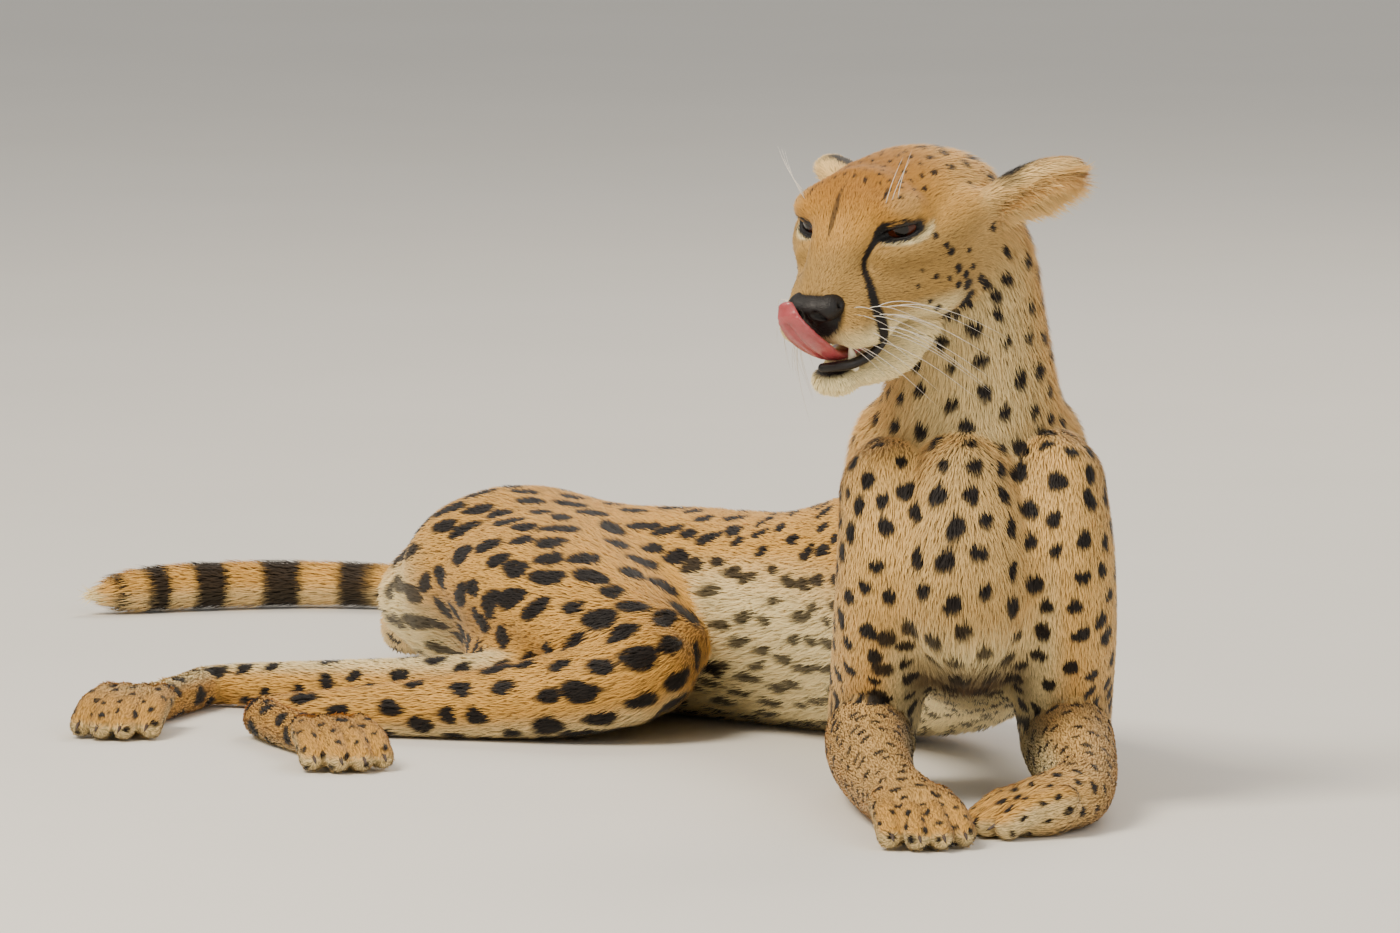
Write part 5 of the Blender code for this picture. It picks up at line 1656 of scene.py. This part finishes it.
# %% Black lower lip
# wet black skin of the lip, with folds about 1.7 mm apart
LIP, *_ = finish("Wet black lip skin", tones=(200.0, "#0c0909", "#1d1614"),
                 grain=(600.0, 0.0005, 0.7), Roughness=0.42, Specular_IOR_Level=0.35,
                 Coat_Weight=0.1, Coat_Roughness=0.3)
LIP_ROWS = ((63, 0, -78, 2.7, 2.6), (60.5, 8, -78, 2.8, 2.9), (54, 16, -78.5, 2.8, 3.3),
            (45, 21, -78, 2.7, 3.5), (37, 26, -75.5, 2.5, 3.2), (31, 31, -69.5, 2.2, 2.7),
            (28, 33, -63, 1.5, 1.7))
lip = small_form("lower_lip", [head_tube(LIP_ROWS, blend=2, side=side, coat=0)
                               for side in SIDES.values()], [], 0.0012, LIP)
print("lip:", len(lip.data.polygons), "quads")

# %% Canines
# enamel: cream, smooth and a little translucent
ENAMEL, *_ = finish("Tooth enamel", tones=(120.0, "#e0cfa4", "#f3ead2"), Roughness=0.22,
                    Subsurface_Weight=0.1, Subsurface_Scale=0.002, Coat_Weight=0.3,
                    Coat_Roughness=0.1)
teeth = {}
for name, side in SIDES.items():
    rows = ((45, 13.5, -84, 3.2, 3.6), (46.5, 14.5, -76, 2.7, 3.2), (48.5, 15.5, -69, 1.3, 1.5),
            (49, 16, -67, 0.6, 0.7))
    teeth[name] = small_form("tooth_" + name, [head_tube(rows, blend=1, side=side, coat=0)], [],
                             0.0008, ENAMEL)
print("teeth:", len(teeth))

# %% [markdown]
# ## Whiskers, brow hairs and claws
# Whiskers are stiff white hairs, thick at the root and fine at the tip, in four rows on
# each side of the muzzle. Claws are blunt dark horn, since a cheetah cannot draw them in
# fully. All are thin tapered tubes, so one function makes them.

# %% Tapered tubes
HAIR_RINGS = 9


def spikes(name, stems, sides, material):
    """Many thin closed tubes as one piece; a stem is rows of a point and a radius."""
    points, faces = [], []
    for stem in stems:
        rows = np.array(stem, float)
        way = unit(rows[-1, :3] - rows[0, :3])
        # never quite along a stem that stands upright
        aside = unit(np.cross(way, UP + 0.013))
        up = np.cross(aside, way)
        start = len(points)
        for row in rows[:-1]:
            for angle in np.arange(sides) * 2 * math.pi / sides:
                points.append(row[:3] + row[3] * (math.cos(angle) * aside
                                                  + math.sin(angle) * up))
        points.append(rows[-1, :3])
        faces += sleeve(start, len(rows) - 1, sides)
        last = start + (len(rows) - 2) * sides
        for j in range(sides):
            faces.append((last + j, last + (j + 1) % sides, len(points) - 1))
        faces.append(tuple(start + j for j in range(sides))[::-1])
    piece = add_piece(name, points, faces, material)
    face_outward(piece)
    return piece


def hair(root, way, droop, length, radius):
    """A curved hair from its root; it bends towards droop as it goes out."""
    rows = []
    for place in np.linspace(0.0, 1.0, HAIR_RINGS):
        point = root + length * (place * unit(way) + place ** 2 * np.array(droop))
        rows.append((*point, radius * (1.0 - 0.85 * place)))
    return rows


# stiff white whisker: clear horn with a soft shine
WHISKER, *_ = finish("White whisker", tones=(60.0, "#d9cdb8", "#f7f2e8"), Roughness=0.35,
                     Specular_IOR_Level=0.5)
random = np.random.default_rng(SEED)
stems = []
for side in SIDES.values():
    for row in range(4):
        for place in range(5):
            root = on_skin([head_point(46 - 6.0 * place + 2 * row, side * (21 + 2.4 * place),
                                       -43 - 5.5 * row - 0.8 * place)])[0]
            out = np.array((-0.30 - 0.12 * place, side * 0.95,
                            0.15 - 0.26 * row)) + random.normal(0, 0.13, 3)
            length = (0.026 + 0.009 * place) * random.uniform(0.75, 1.2)
            stems.append(hair(root, out @ HEAD_AXES,
                              np.array((-0.50, 0, -0.92)) @ HEAD_AXES, length, 0.00030))
    for place in range(3):
        root = on_skin([head_point(6 - 5 * place, side * (34 + 3 * place), 24 + place)])[0]
        out = np.array((0.25, side * (0.35 + 0.1 * place), 0.95)) + random.normal(0, 0.08, 3)
        stems.append(hair(root, out @ HEAD_AXES, np.array((-0.35, 0, 0.05)) @ HEAD_AXES,
                          0.038, 0.00034))
whiskers = spikes("whiskers", stems, 5, WHISKER)
print("whiskers:", len(stems))

# %% Claws
# worn horn: dark brown, with a fine grain
HORN, *_ = finish("Dark claw horn", tones=(300.0, "#241a14", "#57453a"),
                  grain=(1200.0, 0.0002, 1.0), Roughness=0.42, Specular_IOR_Level=0.5)
stems = []
for foot, (knuckle, forward, length) in FEET.items():
    for place in TOE_PLACES:
        tip = np.array(toe_rows(knuckle, forward, length, place)[-1][:3])
        ahead_way = unit(unit(forward) + np.array((0.0, 0.0, -0.28)))
        base = tip + UP * 0.0045
        stems.append([(*(base + ahead_way * 0.0175 * step - UP * 0.0022 * step ** 2),
                       0.0027 * (1.0 - 0.80 * step)) for step in np.linspace(0, 1, 7)])
claws = spikes("claws", stems, 8, HORN)
print("claws:", len(stems))

# %% [markdown]
# ## What replaces what
# Each piece stands for imported nodes, which are hidden. The animal is one still body, so
# everything rides on the root.

# %% Hidden parts and bodies
FLESH_NODES = [name for name in frame["nodes"]
               if not name.startswith(("canine", "eye", "nose", "tongue"))]
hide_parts(*FLESH_NODES)
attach(skin, "root")
COAT_SLOTS = {"coat_face": "head", "coat_crown": "head", "coat_neck": "neck",
              "coat_chest": "thorax", "coat_loin": "loin", "coat_hips": "pelvis",
              "coat_forelegs": "forearm_right", "coat_hind_legs": "shank_right",
              "coat_tail": "tail_middle"}
for name, slot in COAT_SLOTS.items():
    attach(coats[name], "root")
for name in SIDES:
    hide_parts("eye_" + name)
    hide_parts("canine_" + name)
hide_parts("nose")
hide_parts("tongue")
for piece in (*eyes.values(), *rims.values(), *teeth.values(), nose, tongue, lip, whiskers,
              claws):
    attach(piece, "root")

# %% [markdown]
# ## Studio
# A pale seamless floor, one large soft light above and to the side, a weaker one from
# the other side to open the shadows, and one from behind that draws the back's edge.
# The camera looks slightly down from 12 m away, with a long lens.

# %% Floor
floor_mesh = bpy.data.meshes.new("floor")
floor_mesh.from_pydata([(-12, -12, 0), (12, -12, 0), (12, 30, 0), (-12, 30, 0)], [],
                       [(0, 1, 2, 3)])
floor = bpy.data.objects.new("floor", floor_mesh)
scene.collection.objects.link(floor)
# dull paper, hardly uneven
PAPER, *_ = finish("Matt studio paper", tones=(3.0, "#d9d6cf", "#dfdcd6"), Roughness=0.9)
floor_mesh.materials.append(PAPER)

# %% Lights
AIM = Vector((-0.179, 0.0, 0.230)) + Vector(SHIFT)      # the middle of the view


def area_light(name, place, size, power, tint):
    """A square soft light that points at the middle of the view."""
    light = bpy.data.lights.new(name, "AREA")
    light.size = size
    light.energy = power
    light.color = linear(tint)[:3]
    thing = bpy.data.objects.new(name, light)
    thing.location = AIM + Vector(place)
    thing.rotation_euler = (-Vector(place)).to_track_quat("-Z", "Y").to_euler()
    scene.collection.objects.link(thing)


area_light("key", (-1.9, -1.6, 3.3), 1.8, 235.0, "#fff4e2")
area_light("fill", (2.6, -4.2, 2.4), 3.0, 95.0, "#fffaf2")
area_light("back", (1.2, 3.2, 2.8), 2.0, 80.0, "#fff4e4")
world = bpy.data.worlds.new("Soft room")
world.use_nodes = True
background = world.node_tree.nodes["Background"]
background.inputs["Color"].default_value = linear("#f0eeea")
background.inputs["Strength"].default_value = 0.62
scene.world = world

# %% Camera
DISTANCE = 12.0
RAISED = math.radians(6.0)
VIEW_WIDTH = 0.9655         # metres across the view, at the middle of the animal
camera = bpy.data.cameras.new("camera")
camera.sensor_width = 36.0
camera.lens = camera.sensor_width * DISTANCE / VIEW_WIDTH
camera.clip_end = 60.0
viewpoint = bpy.data.objects.new("camera", camera)
viewpoint.location = AIM + DISTANCE * Vector((0.0, -math.cos(RAISED), math.sin(RAISED)))
viewpoint.rotation_euler = (math.radians(90) - RAISED, 0.0, 0.0)
scene.collection.objects.link(viewpoint)
scene.camera = viewpoint
